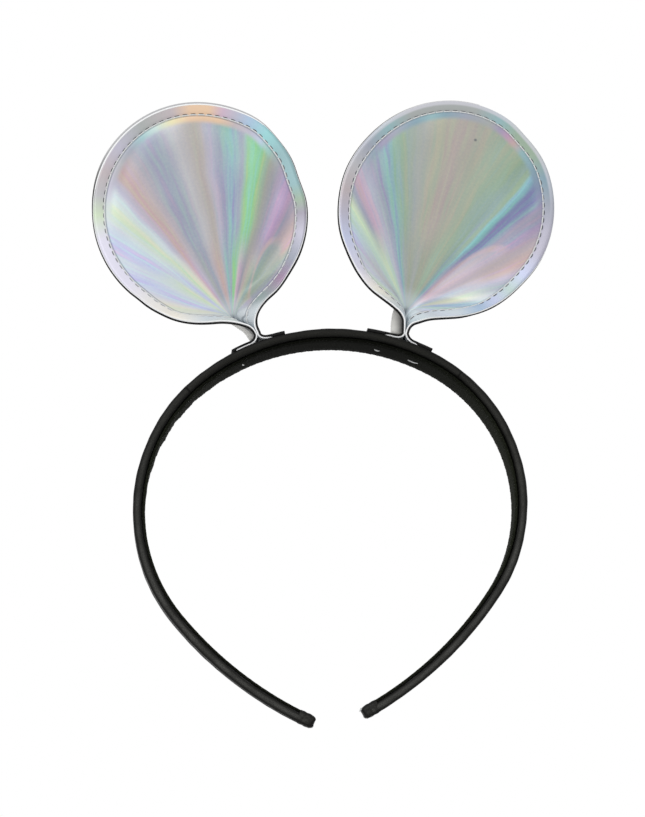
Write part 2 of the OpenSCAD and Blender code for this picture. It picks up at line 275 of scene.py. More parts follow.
floor = bpy.data.objects.new("floor", floor_mesh)
bpy.context.scene.collection.objects.link(floor)
print("floor at", round(low, 4))

# %% [markdown]
# ## The band's line
# Seen from the front, the band is three arcs a side that run into each other: crown, shoulder and lower arm.
# A turn is the angle from the middle of the crown, negative to the left. A point is picked by its turn and by
# its depth under the outer face, which is how the solids are drawn too, so cloth and core always fit.

# %% Points on the band
CROWN_R, BAND_T = 75.4, 3.8
ARCS = {-1: ((CROWN_R, 35.5), (60.4, 126.5), (131, 152)), 1: ((CROWN_R, 32), (58, 127.5), (131, 155))}


def out_dir(turn):
    """(x, z) of the way outward at a turn from straight up, in degrees."""
    return np.array((math.sin(math.radians(turn)), math.cos(math.radians(turn))))


def band_point(turn, depth):
    """(x, z) in millimetres of a point of the band."""
    side = -1 if turn < 0 else 1
    centre, turn, arcs = np.array((0, BAND_T - CROWN_R)), abs(turn), ARCS[side]
    i = 0
    while i < 2 and turn >= arcs[i][1]:
        centre = centre + (arcs[i][0] - arcs[i + 1][0]) * out_dir(arcs[i][1])
        i += 1
    x, z = centre + (arcs[i][0] - depth) * out_dir(turn)
    return np.array((side * x, z))


print("the tips stand at", band_point(-152, 0).round(1), "and", band_point(155, 0).round(1))


# %% Lengths along the band
TURNS = np.arange(-152, 155.01, 0.25)
middle_line = np.array([band_point(t, BAND_T / 2) for t in TURNS])
RUN = np.concatenate([[0], np.cumsum(np.linalg.norm(np.diff(middle_line, axis=0), axis=1))])
RUN -= np.interp(0, TURNS, RUN)


def turn_at(run):
    """The turn at a length along the band from the middle of the crown."""
    return float(np.interp(run, RUN, TURNS))


def run_at(turn):
    """The length along the band at a turn."""
    return float(np.interp(turn, TURNS, RUN))


HALF_CROWN, HALF_TIP, TAPER_DROP = 8.5, 3.0, 8.0


def half_width(z, side):
    """Half the band's width: full on the crown, then narrowing steadily to the tips."""
    tip_z = band_point(side * ARCS[side][2][1], 0)[1]
    start = BAND_T - TAPER_DROP
    return HALF_CROWN - (HALF_CROWN - HALF_TIP) * max(0, (start - z) / (start - tip_z))


print("the band is", round(RUN[-1] - RUN[0], 1), "mm long along its middle")


# %% [markdown]
# ## From rows of points to a mesh
# Cloth that runs along something is easiest as a loft: one cross-section after another, joined by faces. The
# helper also writes a UV map in millimetres, one way along the cloth and the other across, so that weave and
# ribs keep their true size however the piece is bent.

# %% Loft helper
def make_piece(name, points, faces, flat=None, finishes=(), picks=None, edge=None):
    """A smooth mesh with flat end caps from points in millimetres; flat gives each point's place on the cloth."""
    mesh = bpy.data.meshes.new(name)
    mesh.from_pydata([tuple(p) for p in np.asarray(points) * MM], [], faces)
    corner = np.empty(len(mesh.loops), int)
    mesh.loops.foreach_get("vertex_index", corner)
    for layer, values in (("cloth", flat), ("edge", edge)):
        if values is not None:
            places = np.asarray(values)[corner].astype(np.float32)
            mesh.uv_layers.new(name=layer).data.foreach_set("uv", places.ravel())
    for finish in finishes:
        mesh.materials.append(finish)
    if picks is not None:
        mesh.polygons.foreach_set("material_index", np.asarray(picks, np.int32))
    mesh.polygons.foreach_set("use_smooth", [len(face) < 5 for face in faces])
    mesh.update()
    piece = bpy.data.objects.new(name, mesh)
    bpy.context.scene.collection.objects.link(piece)
    return piece


def loft_faces(rows, cols):
    """Faces of a capped tube of sections, each a closed loop of cols points."""
    faces = [(i * cols + j, i * cols + (j + 1) % cols, (i + 1) * cols + (j + 1) % cols, (i + 1) * cols + j)
             for i in range(rows - 1) for j in range(cols)]
    return faces + [tuple(reversed(range(cols))), tuple(range((rows - 1) * cols, rows * cols))]


print("a tube of 3 sections of 8 points has", len(loft_faces(3, 8)), "faces")


# %% Loft along the band
def loft_along_band(name, start, end, pitch, section, finish):
    """A piece that runs along the band; section(run, half) gives its (across, depth) points."""
    runs = np.linspace(run_at(start), run_at(end), max(2, int(abs(run_at(end) - run_at(start)) / pitch)))
    points, flat = [], []
    for run in runs:
        turn = turn_at(run)
        half = half_width(band_point(turn, 0)[1], -1 if turn < 0 else 1)
        loop = section(run, half)
        around = np.concatenate([[0], np.cumsum(np.hypot(*np.diff(loop, axis=0).T))])
        for (across, depth), v in zip(loop, around):
            x, z = band_point(turn, depth)
            points.append((x, across, z))
            flat.append((run, v))
    return make_piece(name, points, loft_faces(len(runs), len(loop)), flat, [finish])


print("left arm:", round(-run_at(-152), 1), "mm, right arm:", round(run_at(155), 1), "mm from the crown's middle")


# %% [markdown]
# ## Black satin
# Satin shows long floating threads, so it shines along one direction and has hardly any visible weave. The recipe is
# near-black with a soft sheen for the grazing light, fine ribs across the band as bump, and slow changes of roughness
# where fingers and folds have dulled it. Its colour also carries painted light: painted shade where the surface turns
# edge-on, and a painted sheen that makes the arms lighter than the crown, in slow patches.

# %% Satin finish
def satin_finish(title, crown_tone, lit_arm_tone):
    """Black satin, from its colour on the crown to a painted lighter colour down the arms, for the sheen that shows
    there.
    """
    satin = new_finish(title)
    place, down_band, _ = cloth_place(satin)
    stretched = step(satin, "Mapping", {0: place, "Scale": (3.2, 0.5, 1)}).outputs[0]
    slow = noise(satin, place, 0.16, 2)
    # Painted sheen: the colour turns lighter down the arms, in slow patches, where more light shows on the satin.
    down_arm = rise(satin, math_node(satin, "ABSOLUTE", down_band), 30.0, 120.0)
    painted_arm_sheen = plus(satin, times(satin, down_arm, slow), -0.05)
    # Painted shade: the colour darkens to near black where the surface turns edge-on to the view, as on the rolled
    # rims.
    facing = step(satin, "LayerWeight", {"Blend": 0.5}).outputs["Facing"]
    turned = ramp(satin, facing, [(0.0, 0.0), (0.05, 0.25), (0.14, 0.7), (0.35, 1.0)])
    colour = blend_colour(satin, turned, ramp(satin, painted_arm_sheen, [(0.0, crown_tone), (0.7, lit_arm_tone)]), tint(13, 13, 11))
    flecks = ramp(satin, noise(satin, place, 2.6, 3), [(0.38, tint(90, 90, 90)), (0.5, tint(188, 188, 188)),
                                                       (0.64, tint(250, 250, 246))])
    surface(satin, Base_Color=blend_colour(satin, 0.45, colour, flecks, "OVERLAY"),
            Roughness=ramp(satin, slow, [(0.3, 0.4), (0.7, 0.55)]),
            Normal=bump(satin, noise(satin, stretched, 2.2, 3), 0.22, 0.00012))
    surface(satin, Specular_IOR_Level=0.1, Sheen_Weight=0.01, Sheen_Roughness=0.35)
    return satin


satin = satin_finish("black satin", tint(31, 31, 28), tint(73, 73, 71))
# A darker copy for the tips, whose painted sheen is weaker.
tip_satin = satin_finish("black satin at the tips", tint(25, 25, 23), tint(52, 52, 50))
print(satin.name, "has", len(satin.node_tree.nodes), "nodes")

# %% [markdown]
# ## Ribbon finish
# The inside of the band is covered by a matt ribbon. It is greyer and slightly green, brushed by hair and handling,
# with fine ribs across it. Like the satin, it carries painted light: it is lighter down the arms than on the crown.

# %% Lining finish
ribbon = new_finish("ribbed ribbon")
place, down_band, _ = cloth_place(ribbon)
ribs = step(ribbon, "TexWave", {"Vector": place, "Scale": 0.55, "Distortion": 1.5, "Detail": 2,
                                "Detail Scale": 1.2}).outputs["Fac"]
fuzz = noise(ribbon, place, 1.8, 5)
# Painted light: the ribbon is lighter down the arms than on the crown, as on the satin.
painted_arm_light = rise(ribbon, math_node(ribbon, "ABSOLUTE", down_band), 25.0, 75.0)
colour = blend_colour(ribbon, painted_arm_light, ramp(ribbon, fuzz, [(0.3, tint(3, 4, 2)), (0.7, tint(15, 16, 11))]),
                      ramp(ribbon, fuzz, [(0.3, tint(10, 11, 8)), (0.7, tint(38, 41, 31))]))
surface(ribbon, Base_Color=colour, Roughness=0.85, Normal=bump(ribbon, plus(ribbon, ribs, fuzz), 0.4, 0.00015))
surface(ribbon, Specular_IOR_Level=0.04, Sheen_Weight=0.009, Sheen_Roughness=0.5)
print(ribbon.name, "has", len(ribbon.node_tree.nodes), "nodes")

# %% [markdown]
# ## The satin cover
# One strip of satin is wrapped round the core and folded in under both of its edges. It is made as a C-shaped section
# that runs along the band, a little crowned on the outer face, full and round at the rims. The band bends where its
# arms spring outward, so the cover is cut in three where nothing bends.

# %% Cover section
def ripple(run, *waves):
    """Slow unevenness of hand work: a few sine waves, each a (length, size, start)."""
    return sum(size * math.sin(2 * math.pi * run / length + start) for length, size, start in waves)


def cover_section(run, half):
    """The cover's C: crowned outer face, rolled rims, edges folded in under the core, and back inside them."""
    w = half + ripple(run, (23, 0.05, 0.4), (9.1, 0.035, 2.0))
    puff = ripple(run, (31, 0.05, 1.0), (6.7, 0.03, 0.5))
    side = [(0.4 * w, -0.15), (0.7 * w, -0.2)]
    side += [(w - 1.2 + 1.35 * math.cos(a), 1.31 + (1.5 + puff) * math.sin(a)) for a in np.radians(range(-90, 91, 10))]
    side += [(w - 1.5, 2.82), (w - 1.8, 2.98), (w - 2.3, 3.0), (w - 2.3, 2.66), (w - 0.75, 2.66), (w - 0.75, 0.56)]
    return [(0, -0.12)] + side + [(0, 0.56)] + [(-a, d) for a, d in reversed(side)]


print("on the crown the cover is", round(2 * max(a for a, _ in cover_section(0, HALF_CROWN)), 2), "mm wide")

# %% Cover
SEAM = 42          # turn at which the crown's cloth meets the arms'
covers = {
    "crown": loft_along_band("satin_cover_crown", -SEAM, SEAM, 0.8, cover_section, satin),
    "left_arm": loft_along_band("satin_cover_left", -152, -SEAM, 0.8, cover_section, satin),
    "right_arm": loft_along_band("satin_cover_right", SEAM, 155, 0.8, cover_section, satin),
}
for body, piece in covers.items():
    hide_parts("band_cover_" + body.split("_")[0])
    print(piece.name, len(piece.data.vertices), "points")


# %% [markdown]
# ## Ribbon lining
# Inside the hoop the folded edges of the satin are hidden under a ribbon, which is glued down a little short of
# both rims, so that a narrow step shows on either side. It follows the same line as the cover, one step further
# in, and its edge is ragged where the ribbon was cut by hand. A box bent along the band would look machined, so the
# cut edge is uneven in the section itself.

# %% Lining
def lining_section(run, half):
    """The ribbon's section, with frayed edges and a lower face that hangs unevenly at the left shoulder."""
    rag = math.exp(-((run + 65) / 25) ** 2)
    fray = [ripple(run + 7 * k, (1.27, 0.1, k), (0.83, 0.08, 2 * k), (3.1, 0.1, 1.0)) for k in (0, 1)]
    hang = 0.12 * fray[1] + rag * ripple(run, (11.7, 0.14, 0.5), (5.3, 0.08, 2.0), (2.1, 0.05, 1.0))
    w0, w1 = half - 1.0 + fray[0], half - 1.0 + fray[1]
    deep = 3.95 + hang
    return [(-w0 + 0.3, 3.1), (-w0, 3.22), (-w0 - 0.05, 3.5), (-w0 + 0.1, deep - 0.1), (-0.5 * w0, deep),
            (0, deep + 0.03), (0.5 * w1, deep), (w1 - 0.1, deep - 0.1), (w1 + 0.05, 3.5), (w1, 3.22), (w1 - 0.3, 3.1),
            (0, 3.06)]


linings = {
    "crown": loft_along_band("lining_ribbon_crown", -SEAM, SEAM, 0.3, lining_section, ribbon),
    "left_arm": loft_along_band("lining_ribbon_left", -151.5, -SEAM, 0.3, lining_section, ribbon),
    "right_arm": loft_along_band("lining_ribbon_right", SEAM, 154.5, 0.3, lining_section, ribbon),
}
for body, piece in linings.items():
    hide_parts("lining_" + body.split("_")[0])
    print(piece.name, len(piece.data.vertices), "points")


# %% [markdown]
# ## Cloth across the shoulders
# The hoop springs open: crown and arms move against each other at the shoulders. Satin and ribbon run across those
# places in one piece, since cutting the cloth there would leave a gap that no real headband has. The crown's pieces are
# attached to the crown, and the arms' pieces are set in place where they were built.

# %% Cloth across the shoulders
def at(turn):
    """The middle of the band at a turn, in metres."""
    x, z = band_point(turn, BAND_T / 2)
    return (x * MM, 0, z * MM)


COVER_CUT, LINING_CUT = 29, 15    # widths of the strips before they were folded, in millimetres
for group, width in ((covers, COVER_CUT), (linings, LINING_CUT)):
    for body, piece in group.items():
        if body == "crown":
            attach(piece, "crown")
        else:
            side = -1 if body == "left_arm" else 1
            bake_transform(piece)

# %% [markdown]
# ## One ear as a surface
# An ear is one flat shape with a strip at its lower end. The strip is folded in half at the back, so the two faces
# of film touch, and then opens upward into a shallow shell. The shape is described by level sections: at each
# height a soft curve runs from the fold at the back, through the throat where the faces touch, to the front edge.
# Below the neck each half curls over and lies along the crown as a tab.

# %% The shape's sizes
LAYER = 0.6                        # each layer's thickness
CURL, BED = 3.0, 75.58             # outer radius of the tab's curl, radius of the bed of glue under the tabs
CURL_TURN = math.degrees(math.asin(CURL / (BED + CURL)))
NECK_RISE = (BED + CURL) * math.cos(math.radians(CURL_TURN))
NECK_FRONT, NECK_BACK = -7.2, 4.8  # the neck's front edges and its fold
# For each ear: its side, the neck's turn, the lean, the round part's half sizes, middle and tilt, the place
# where its pleats start, where the pinch sits, the lengths of its outer and inner tabs, and how the flare opens
# on each side, as (height, distance from the axis). Across is counted away from the headband's middle.
EARS = {
    "left": dict(side=-1, neck=17.5, lean=19.5, wide=37.9, tall=40.5, middle=(-0.2, 50.3), tilt=18,
                 fan=(3.9, 10.8), pinch=-0.6, tabs=(9.7, 9.7), curls=(2.4, 3.9),
                 loop={1: [(0, 0.65), (1.2, 1.6), (2.5, 1.7), (5.3, 0.9), (7.6, 0.7), (12, 1.2)],
                       -1: [(0, 0.65), (1.2, 0.9), (5, 1.2), (8, 1.8), (12, 2.4)]},
                 bumps={1: [], -1: [(48, -0.9, 7), (74, 0.8, 7)]}, white=(10, 0), flare={
                     1: [(2, 0.3), (3.5, 1.1), (5, 2.7), (6.5, 4.7), (8.8, 9), (10.4, 13.7), (12.2, 18), (14.3, 21.5),
                         (16.7, 24.4), (19.7, 27.1), (24.2, 30.4)],
                     -1: [(3, 1.4), (5, 2.2), (6.5, 3.2), (8.3, 5.1), (10.5, 8.9), (12.1, 13)]}),
    "right": dict(side=1, neck=22.5, lean=20.5, wide=38.4, tall=42.2, middle=(0.7, 50.1), tilt=-8,
                  fan=(-2.7, 10.9), pinch=-1.15, tabs=(9.7, 14), curls=(2.4, 4.1),
                  loop={1: [(0, 0.65), (5, 1.2), (8, 2), (12, 3.5)],
                        -1: [(0, 0.65), (0.9, 3.8), (1.6, 4.4), (4, 4.8), (8, 4.4), (12, 4)]},
                  bumps={1: [(30, -0.6, 9), (87, -1.1, 5)], -1: [(22, -0.6, 6), (55, 0.35, 11)]}, white=(1, 3), flare={
                      1: [(2, -0.4), (3.8, 0.4), (5.5, 2.5), (7.4, 5.2), (9.9, 10.9), (12, 16)],
                      -1: [(2.5, 2.4), (4.5, 3), (6.4, 4.5), (8.3, 8), (9.9, 12), (11.7, 16.5)]}),
}
print("neck stands", round(NECK_RISE - CROWN_R, 2), "mm over the crown's outer face")


# %% An ear's outline
def smooth(a, b, x):
    """0 before a, 1 after b, and smooth between them."""
    t = np.clip((np.asarray(x, float) - a) / (b - a), 0, 1)
    return t * t * (3 - 2 * t)


def round_edge(ear, z, side):
    """How far the round part's edge lies from the ear's axis at a height, on one side."""
    t, (cx, cz) = math.radians(ear["tilt"]), ear["middle"]
    w2, h2, up = ear["wide"] ** 2, ear["tall"] ** 2, z - cz
    a = math.cos(t) ** 2 / w2 + math.sin(t) ** 2 / h2
    b = 2 * up * math.sin(t) * math.cos(t) * (1 / w2 - 1 / h2)
    c = up * up * (math.sin(t) ** 2 / w2 + math.cos(t) ** 2 / h2) - 1
    dents = sum(size * math.exp(-((z - middle) / spread) ** 2) for middle, size, spread in ear["bumps"][side])
    return side * ((-b + side * math.sqrt(max(0, b * b - 4 * a * c))) / (2 * a) + cx) + dents * smooth(93, 86, z)


def top_of(ear):
    """The height of the round part's highest point."""
    t = math.radians(ear["tilt"])
    return ear["middle"][1] + math.hypot(ear["tall"] * math.cos(t), ear["wide"] * math.sin(t))


FINE = np.arange(-4, 100, 0.05)    # heights at which the edges are worked out
SEAM_INSET = 3.9                   # how far in from the edge the stitches run


def through(known, steps=12):
    """A smooth line through points, denser than they are."""
    slope = np.gradient(known, np.concatenate([[0], np.cumsum(np.linalg.norm(np.diff(known, axis=0), axis=1))]),
                        axis=0)
    line = []
    for a, b, u, v in zip(known[:-1], known[1:], slope[:-1], slope[1:]):
        t, gap = np.linspace(0, 1, steps, endpoint=False)[:, None], np.linalg.norm(b - a)
        line.append(a * (1 + 2 * t) * (1 - t) ** 2 + b * t * t * (3 - 2 * t)
                    + gap * (u * t * (1 - t) ** 2 - v * t * t * (1 - t)))
    return np.concatenate(line + [known[-1:]])


def edge_line(ear, side):
    """The edge's distance from the axis at every fine height: stem, flare and round part, run together softly."""
    join = max(17.0, ear["flare"][side][-1][0] + 4)
    stem = side * ear["pinch"] + LAYER + 0.05
    known = [(-9, stem), (-4, stem), (0, stem)] + ear["flare"][side]
    known += [(z, round_edge(ear, z, side)) for z in (join, join + 4, join + 8, join + 12)]
    heights, widths = through(np.array(known)).T
    line = np.where(FINE < join + 6, np.interp(FINE, heights, widths), [round_edge(ear, z, side) for z in FINE])
    window = np.hanning(31)
    soft = np.convolve(np.pad(line, 15, mode="edge"), window / window.sum(), mode="valid")
    share = smooth(join + 8, join + 2, FINE)
    return soft * share + line * (1 - share)


print("the ears' round parts end", [round(float(top_of(ear)), 1) for ear in EARS.values()], "mm above their necks")


# %% Level sections
COLUMNS, FLAT_ROWS = 56, 14        # steps across each half, rows along each tab
FLAT_FROM = 92.4                   # height at which the shell has become flat
ROUND_FROM = 30                    # height above which the edge is the round part's own
ROW_STEP = 0.62                    # millimetres from one row to the next along the outline
TOP_ROWS = 24                      # rows near the top whose normals turn into one
spread = np.linspace(0, 1, COLUMNS + 1)


def spline_weights(t):
    """Weights of six control points along a smooth curve that starts and ends on the outer two."""
    knots = np.array([0, 0, 0, 0, 1 / 3, 2 / 3, 1, 1, 1, 1])
    t = np.clip(t, 0, 1 - 1e-9)
    rows = [((t >= knots[i]) & (t < knots[i + 1])).astype(float) for i in range(9)]
    for degree in (1, 2, 3):
        rows = [(rows[i] * (t - knots[i]) / max(knots[i + degree] - knots[i], 1e-12)
                 + rows[i + 1] * (knots[i + degree + 1] - t) / max(knots[i + degree + 1] - knots[i + 1], 1e-12))
                for i in range(9 - degree)]
    return np.array(rows).T


WEIGHTS = spline_weights(spread)


def level_section(ear, z, side, edge):
    """(x, y) points of one half at a height, from the fold to the edge, x counted outward from the axis."""
    left = max(0, 1 - z / FLAT_FROM)        # the share of the ear that is still above
    depth, front = 12 * left ** 1.5, -1 - 6.2 * left ** 2
    back = front + depth
    fold_x = ear["pinch"] + (ear["fan"][0] - ear["pinch"]) * smooth(1.5, ear["fan"][1], z)
    top_x = 0.5 * (round_edge(ear, top_of(ear) - 0.01, 1) - round_edge(ear, top_of(ear) - 0.01, -1))
    fold_x += (top_x - ear["fan"][0]) * smooth(ear["fan"][1], top_of(ear), z)
    e = edge - side * fold_x
    outer, inner = (np.interp(z, *zip(*ear["loop"][s])) for s in (1, -1))
    loop, aside = (outer + inner) / 2, side * (outer - inner) / 2
    shut = [(aside, back), (loop + aside, back), (loop + aside, back - 0.34 * depth), (0.65, back - 0.52 * depth),
            (0.65 + 0.12 * (e - 0.65), back - 0.78 * depth), (e, front)]
    wide = [(0, back), (0.17 * e, back), (0.38 * e, back - 0.15 * depth), (0.6 * e, back - 0.4 * depth),
            (0.8 * e, back - 0.68 * depth), (e, front)]
    o = smooth(7, 20, z)
    points = WEIGHTS @ ((1 - o) * np.array(shut, float) + o * np.array(wide, float))
    return np.column_stack([fold_x + side * points[:, 0], points[:, 1]])


print("a level section has", len(WEIGHTS), "points on each side of the fold")

# %% [markdown]
# ## Tabs and the whole ear
# Below the neck the two halves part. Each curls outward and runs along the crown as a tab, which is glued down
# and sewn. An ear's rows start at the tabs' ends, turn upward through the curl, and go on as level sections to
# the top, closer together where the outline runs sideways.


# %% Tabs
def tab_lines(ear, side, length, shorter):
    """Points down a tab in the neck's upright frame: curl, then the run along the crown, for the middle surface."""
    wide = ear["curls"][0 if side == 1 else 1]
    lean_in = side * ear["pinch"]
    curl = [(LAYER + wide * (1 - math.cos(math.radians(a))) + lean_in * (1 - a / 80),
             (LAYER - CURL) * math.sin(math.radians(a))) for a in np.arange(6, 82, 6)]
    start, end = math.degrees((LAYER + 0.9 * wide + 0.6) / 76), (length - shorter) / CROWN_R * 180 / math.pi
    flat = [(BED + LAYER) * out_dir(t) - (0, NECK_RISE) for t in np.linspace(start, end, FLAT_ROWS)]
    return [np.array(p) for p in curl] + flat


print("a tab has", len(tab_lines(EARS["left"], 1, 9.7, 0.0)), "rows from its curl to its end")


# %% The whole ear
def neck_foot(ear):
    """The foot of an ear's neck: outward and up, in millimetres."""
    return np.array((0, BAND_T - CROWN_R)) + NECK_RISE * out_dir(ear["neck"])


def to_band(ear, p, roll):
    """From an ear's frame (x outward, y back, z up) to the headband's."""
    a = math.radians(roll)
    x = p[..., 0] * math.cos(a) + p[..., 2] * math.sin(a)
    z = -p[..., 0] * math.sin(a) + p[..., 2] * math.cos(a)
    ox, oz = neck_foot(ear)
    return np.stack([ear["side"] * (x + ox), p[..., 1], z + oz], -1)


def edge_at(ear, edges, side, z):
    """The edge's distance from the axis at any height."""
    return np.interp(z, FINE, edges[side]) if z < ROUND_FROM else round_edge(ear, z, side)


def ear_grid(ear, shorter=0.0):
    """The ear's middle surface as two halves of rows by columns, and how many of the rows are tab."""
    edges = {side: edge_line(ear, side) for side in (1, -1)}
    top = top_of(ear) - 0.004
    z = np.concatenate([FINE[(FINE >= 0) & (FINE < top)], [top]])
    longest = np.maximum(*(np.abs(np.diff([edge_at(ear, edges, s, h) for h in z])) for s in (1, -1)))
    travel = np.concatenate([[0], np.cumsum(np.hypot(np.diff(z), longest))])
    heights = np.interp(np.arange(0, travel[-1], ROW_STEP), travel, z)
    heights[-1] = top
    halves = {}
    for side, length in zip((1, -1), ear["tabs"]):
        rows = []
        for x, h in reversed(tab_lines(ear, side, length, shorter)):
            y = NECK_BACK + (NECK_FRONT - NECK_BACK) * spread
            row = np.column_stack([np.full(len(y), side * x), y, np.full(len(y), h)])
            rows.append(to_band(ear, row, ear["neck"]))
        tabs = len(rows)
        for h in heights:
            xy = level_section(ear, h, side, edge_at(ear, edges, side, h))
            rows.append(to_band(ear, np.column_stack([xy, np.full(len(xy), h)]), ear["lean"]))
        halves[side] = np.array(rows)
    return halves, tabs


print("a row has", 2 * COLUMNS + 1, "points")


# %% Normals
def normals(grid):
    """Unit normals of a grid of points."""
    down, across = np.gradient(grid, axis=0), np.gradient(grid, axis=1)
    n = np.cross(across, down)
    return n / np.maximum(np.linalg.norm(n, axis=-1, keepdims=True), 1e-9)


def ear_normals(ear, halves, tabs):
    """Unit normals toward the back, the same on both halves along the fold."""
    found = {}
    for side in (1, -1):
        n = normals(halves[side])
        away = n[tabs + 60:, 5:-5, 1].mean()
        found[side] = n if away > 0 else -n
        calm = found[side][-TOP_ROWS - 10:-TOP_ROWS].mean((0, 1))
        share = smooth(0, 10, np.arange(TOP_ROWS))[:, None, None]
        found[side][-TOP_ROWS:] = found[side][-TOP_ROWS:] * (1 - share) + calm / np.linalg.norm(calm) * share
    shared = found[1][tabs:, 0] + found[-1][tabs:, 0]
    shared /= np.linalg.norm(shared, axis=-1, keepdims=True)
    for side in (1, -1):
        found[side][tabs:, 0] = shared
    return found


print("a level square's normal is", normals(np.array([[(0, 0, 0), (1, 0, 0)], [(0, 1, 0), (1, 1, 0)]]))[0, 0])


# %% Joining and thickness
def join_halves(halves, tabs):
    """One list of points and faces from the two halves, which share the fold's points above the neck."""
    rows, cols = halves[1].shape[:2]
    first = np.arange(rows * cols).reshape(rows, cols)
    second = np.empty((rows, cols), int)
    second[:tabs] = rows * cols + np.arange(tabs * cols).reshape(tabs, cols)
    second[tabs:, 1:] = rows * cols + tabs * cols + np.arange((rows - tabs) * (cols - 1)).reshape(rows - tabs, -1)
    second[tabs:, 0] = first[tabs:, 0]
    points = np.concatenate([halves[1].reshape(-1, 3), halves[-1][:tabs].reshape(-1, 3),
                             halves[-1][tabs:, 1:].reshape(-1, 3)])
    faces = []
    for index, turned in ((first, False), (second, True)):
        for i in range(rows - 1):
            for j in range(cols - 1):
                f = (index[i, j], index[i, j + 1], index[i + 1, j + 1], index[i + 1, j])
                faces.append(tuple(int(k) for k in (reversed(f) if turned else f)))
    return points, faces


def shell(outer, inner, faces):
    """A closed skin from two matching sheets of points: faces, turned faces and a rim."""
    n = len(outer)
    edges = {}
    for f in faces:
        for a, b in zip(f, f[1:] + f[:1]):
            edges[(a, b)] = True
    rim = [(b, a, a + n, b + n) for a, b in edges if (b, a) not in edges]
    return (np.concatenate([outer, inner]), faces + [tuple(k + n for k in reversed(f)) for f in faces] + rim,
            [0] * len(faces) + [1] * len(faces) + [2] * len(rim))


square = shell([(0, 0, 0)] * 4, [(0, 0, 1)] * 4, [(0, 1, 2, 3)])
print("one square face becomes a shell of", len(square[1]), "faces")


# %% [markdown]
# ## Rainbow film
# The ears' film is pressed with lines far finer than a hair, which split white light. On a fold it shows bright
# streaks that fan out from the pinched neck, grey where the sheet lies flat and pale where it turns to the light.
# Real diffraction isn't a thing a plain renderer knows, so the colours are laid on as a fan: one ramp of colours by
# angle close to the neck, another further out, a third for the puffed arc inside the stitches and a fourth for the flat
# border. A thin gloss over a little metal then gives the sheen of the real film.

# %% Colours seen in the film
SILVER, PEARL, WHITE, GREY = tint(184, 184, 188), tint(206, 214, 220), tint(230, 228, 226), tint(164, 168, 167)
SKY, CYAN, TEAL, SLATE = tint(172, 192, 214), tint(158, 206, 208), tint(150, 180, 184), tint(160, 165, 177)
LAVENDER, LILAC, VIOLET, PLUM = tint(198, 204, 228), tint(184, 182, 196), tint(162, 154, 178), tint(160, 138, 162)
ROSE, PINK, MAGENTA, SALMON = tint(184, 175, 178), tint(198, 176, 192), tint(184, 156, 180), tint(192, 170, 168)
PEACH, SAND, STRAW, CREAM = tint(222, 194, 168), tint(176, 170, 165), tint(212, 206, 170), tint(220, 219, 204)
LEMON, ICE, MINT, GREEN = tint(204, 218, 194), tint(186, 204, 200), tint(154, 198, 164), tint(156, 174, 157)
OLIVE, KHAKI, MOSS, DUSK = tint(172, 174, 160), tint(160, 165, 153), tint(142, 160, 156), tint(154, 150, 162)
SEA, INDIGO, HAZE, BLUSH = tint(138, 162, 174), tint(136, 146, 170), tint(224, 222, 236), tint(236, 232, 222)
MIST, SHADOW, RIM_HIGHLIGHT = tint(206, 216, 220), tint(76, 84, 96), tint(206, 206, 214)

# Streaks by angle from the ear's own axis, in degrees, to the viewer's right. First near the neck, then far out.
STREAKS = {
    "left": (
        [(-100, CREAM), (-78, PEARL), (-60, CREAM), (-52, LAVENDER), (-44, PEARL), (-36, LEMON), (-30, LAVENDER),
         (-24, LEMON), (-19, CREAM), (-15, PINK), (-11, LILAC), (-6, GREY), (0, SLATE), (4, ROSE), (9, SALMON),
         (13, ROSE), (17, TEAL), (21, SLATE), (24, MINT), (27, MINT), (30, PINK), (35, DUSK), (39, SAND),
         (44, KHAKI), (49, MOSS), (56, KHAKI), (63, OLIVE), (72, VIOLET), (84, DUSK), (95, SILVER), (110, SILVER)],
        [(-100, PEARL), (-60, CREAM), (-48, LAVENDER), (-41, PEARL), (-36, LAVENDER), (-30, PEARL), (-25, LEMON),
         (-21, PEARL), (-18, LILAC), (-15, SALMON), (-11, ROSE), (-6, SLATE), (0, SLATE), (5, SILVER), (12, SAND),
         (15, LILAC), (18, SLATE), (22, TEAL), (26, SLATE), (29, MINT), (33, MINT), (36, KHAKI), (40, DUSK),
         (44, VIOLET), (47, PLUM), (50, DUSK), (60, SALMON), (64, MOSS), (72, VIOLET), (90, DUSK), (110, SILVER)]),
    "right": (
        [(-110, PEARL), (-84, PEARL), (-72, LEMON), (-62, PEARL), (-54, SILVER), (-47, ICE), (-40, LEMON),
         (-35, ICE), (-30, LILAC), (-24, TEAL), (-18, GREY), (-12, KHAKI), (-5, GREY), (0, KHAKI), (6, KHAKI),
         (12, GREEN), (18, KHAKI), (22, MOSS), (25, SEA), (28, SLATE), (32, VIOLET), (37, ROSE), (42, PINK),
         (48, LILAC), (54, SKY), (60, LEMON), (65, CREAM), (70, SKY), (77, ICE), (86, LAVENDER), (96, LILAC),
         (110, PEARL)],
        [(-110, PEARL), (-76, SILVER), (-62, LILAC), (-54, LAVENDER), (-49, ICE), (-45, LEMON), (-41, SLATE),
         (-37, PINK), (-33, LILAC), (-28, SLATE), (-23, TEAL), (-18, GREEN), (-12, GREY), (-6, OLIVE), (0, SAND),
         (9, KHAKI), (18, GREEN), (22, MOSS), (25.5, GREEN), (27, CYAN), (28.5, INDIGO), (33, INDIGO),
         (37, DUSK), (41, VIOLET), (46, ROSE), (51, SALMON), (55, LILAC), (60, SLATE), (67, PEARL), (75, ICE),
         (86, LILAC), (110, PEARL)]),
}
print(len(STREAKS["left"][0]), "streaks near the left ear's neck")

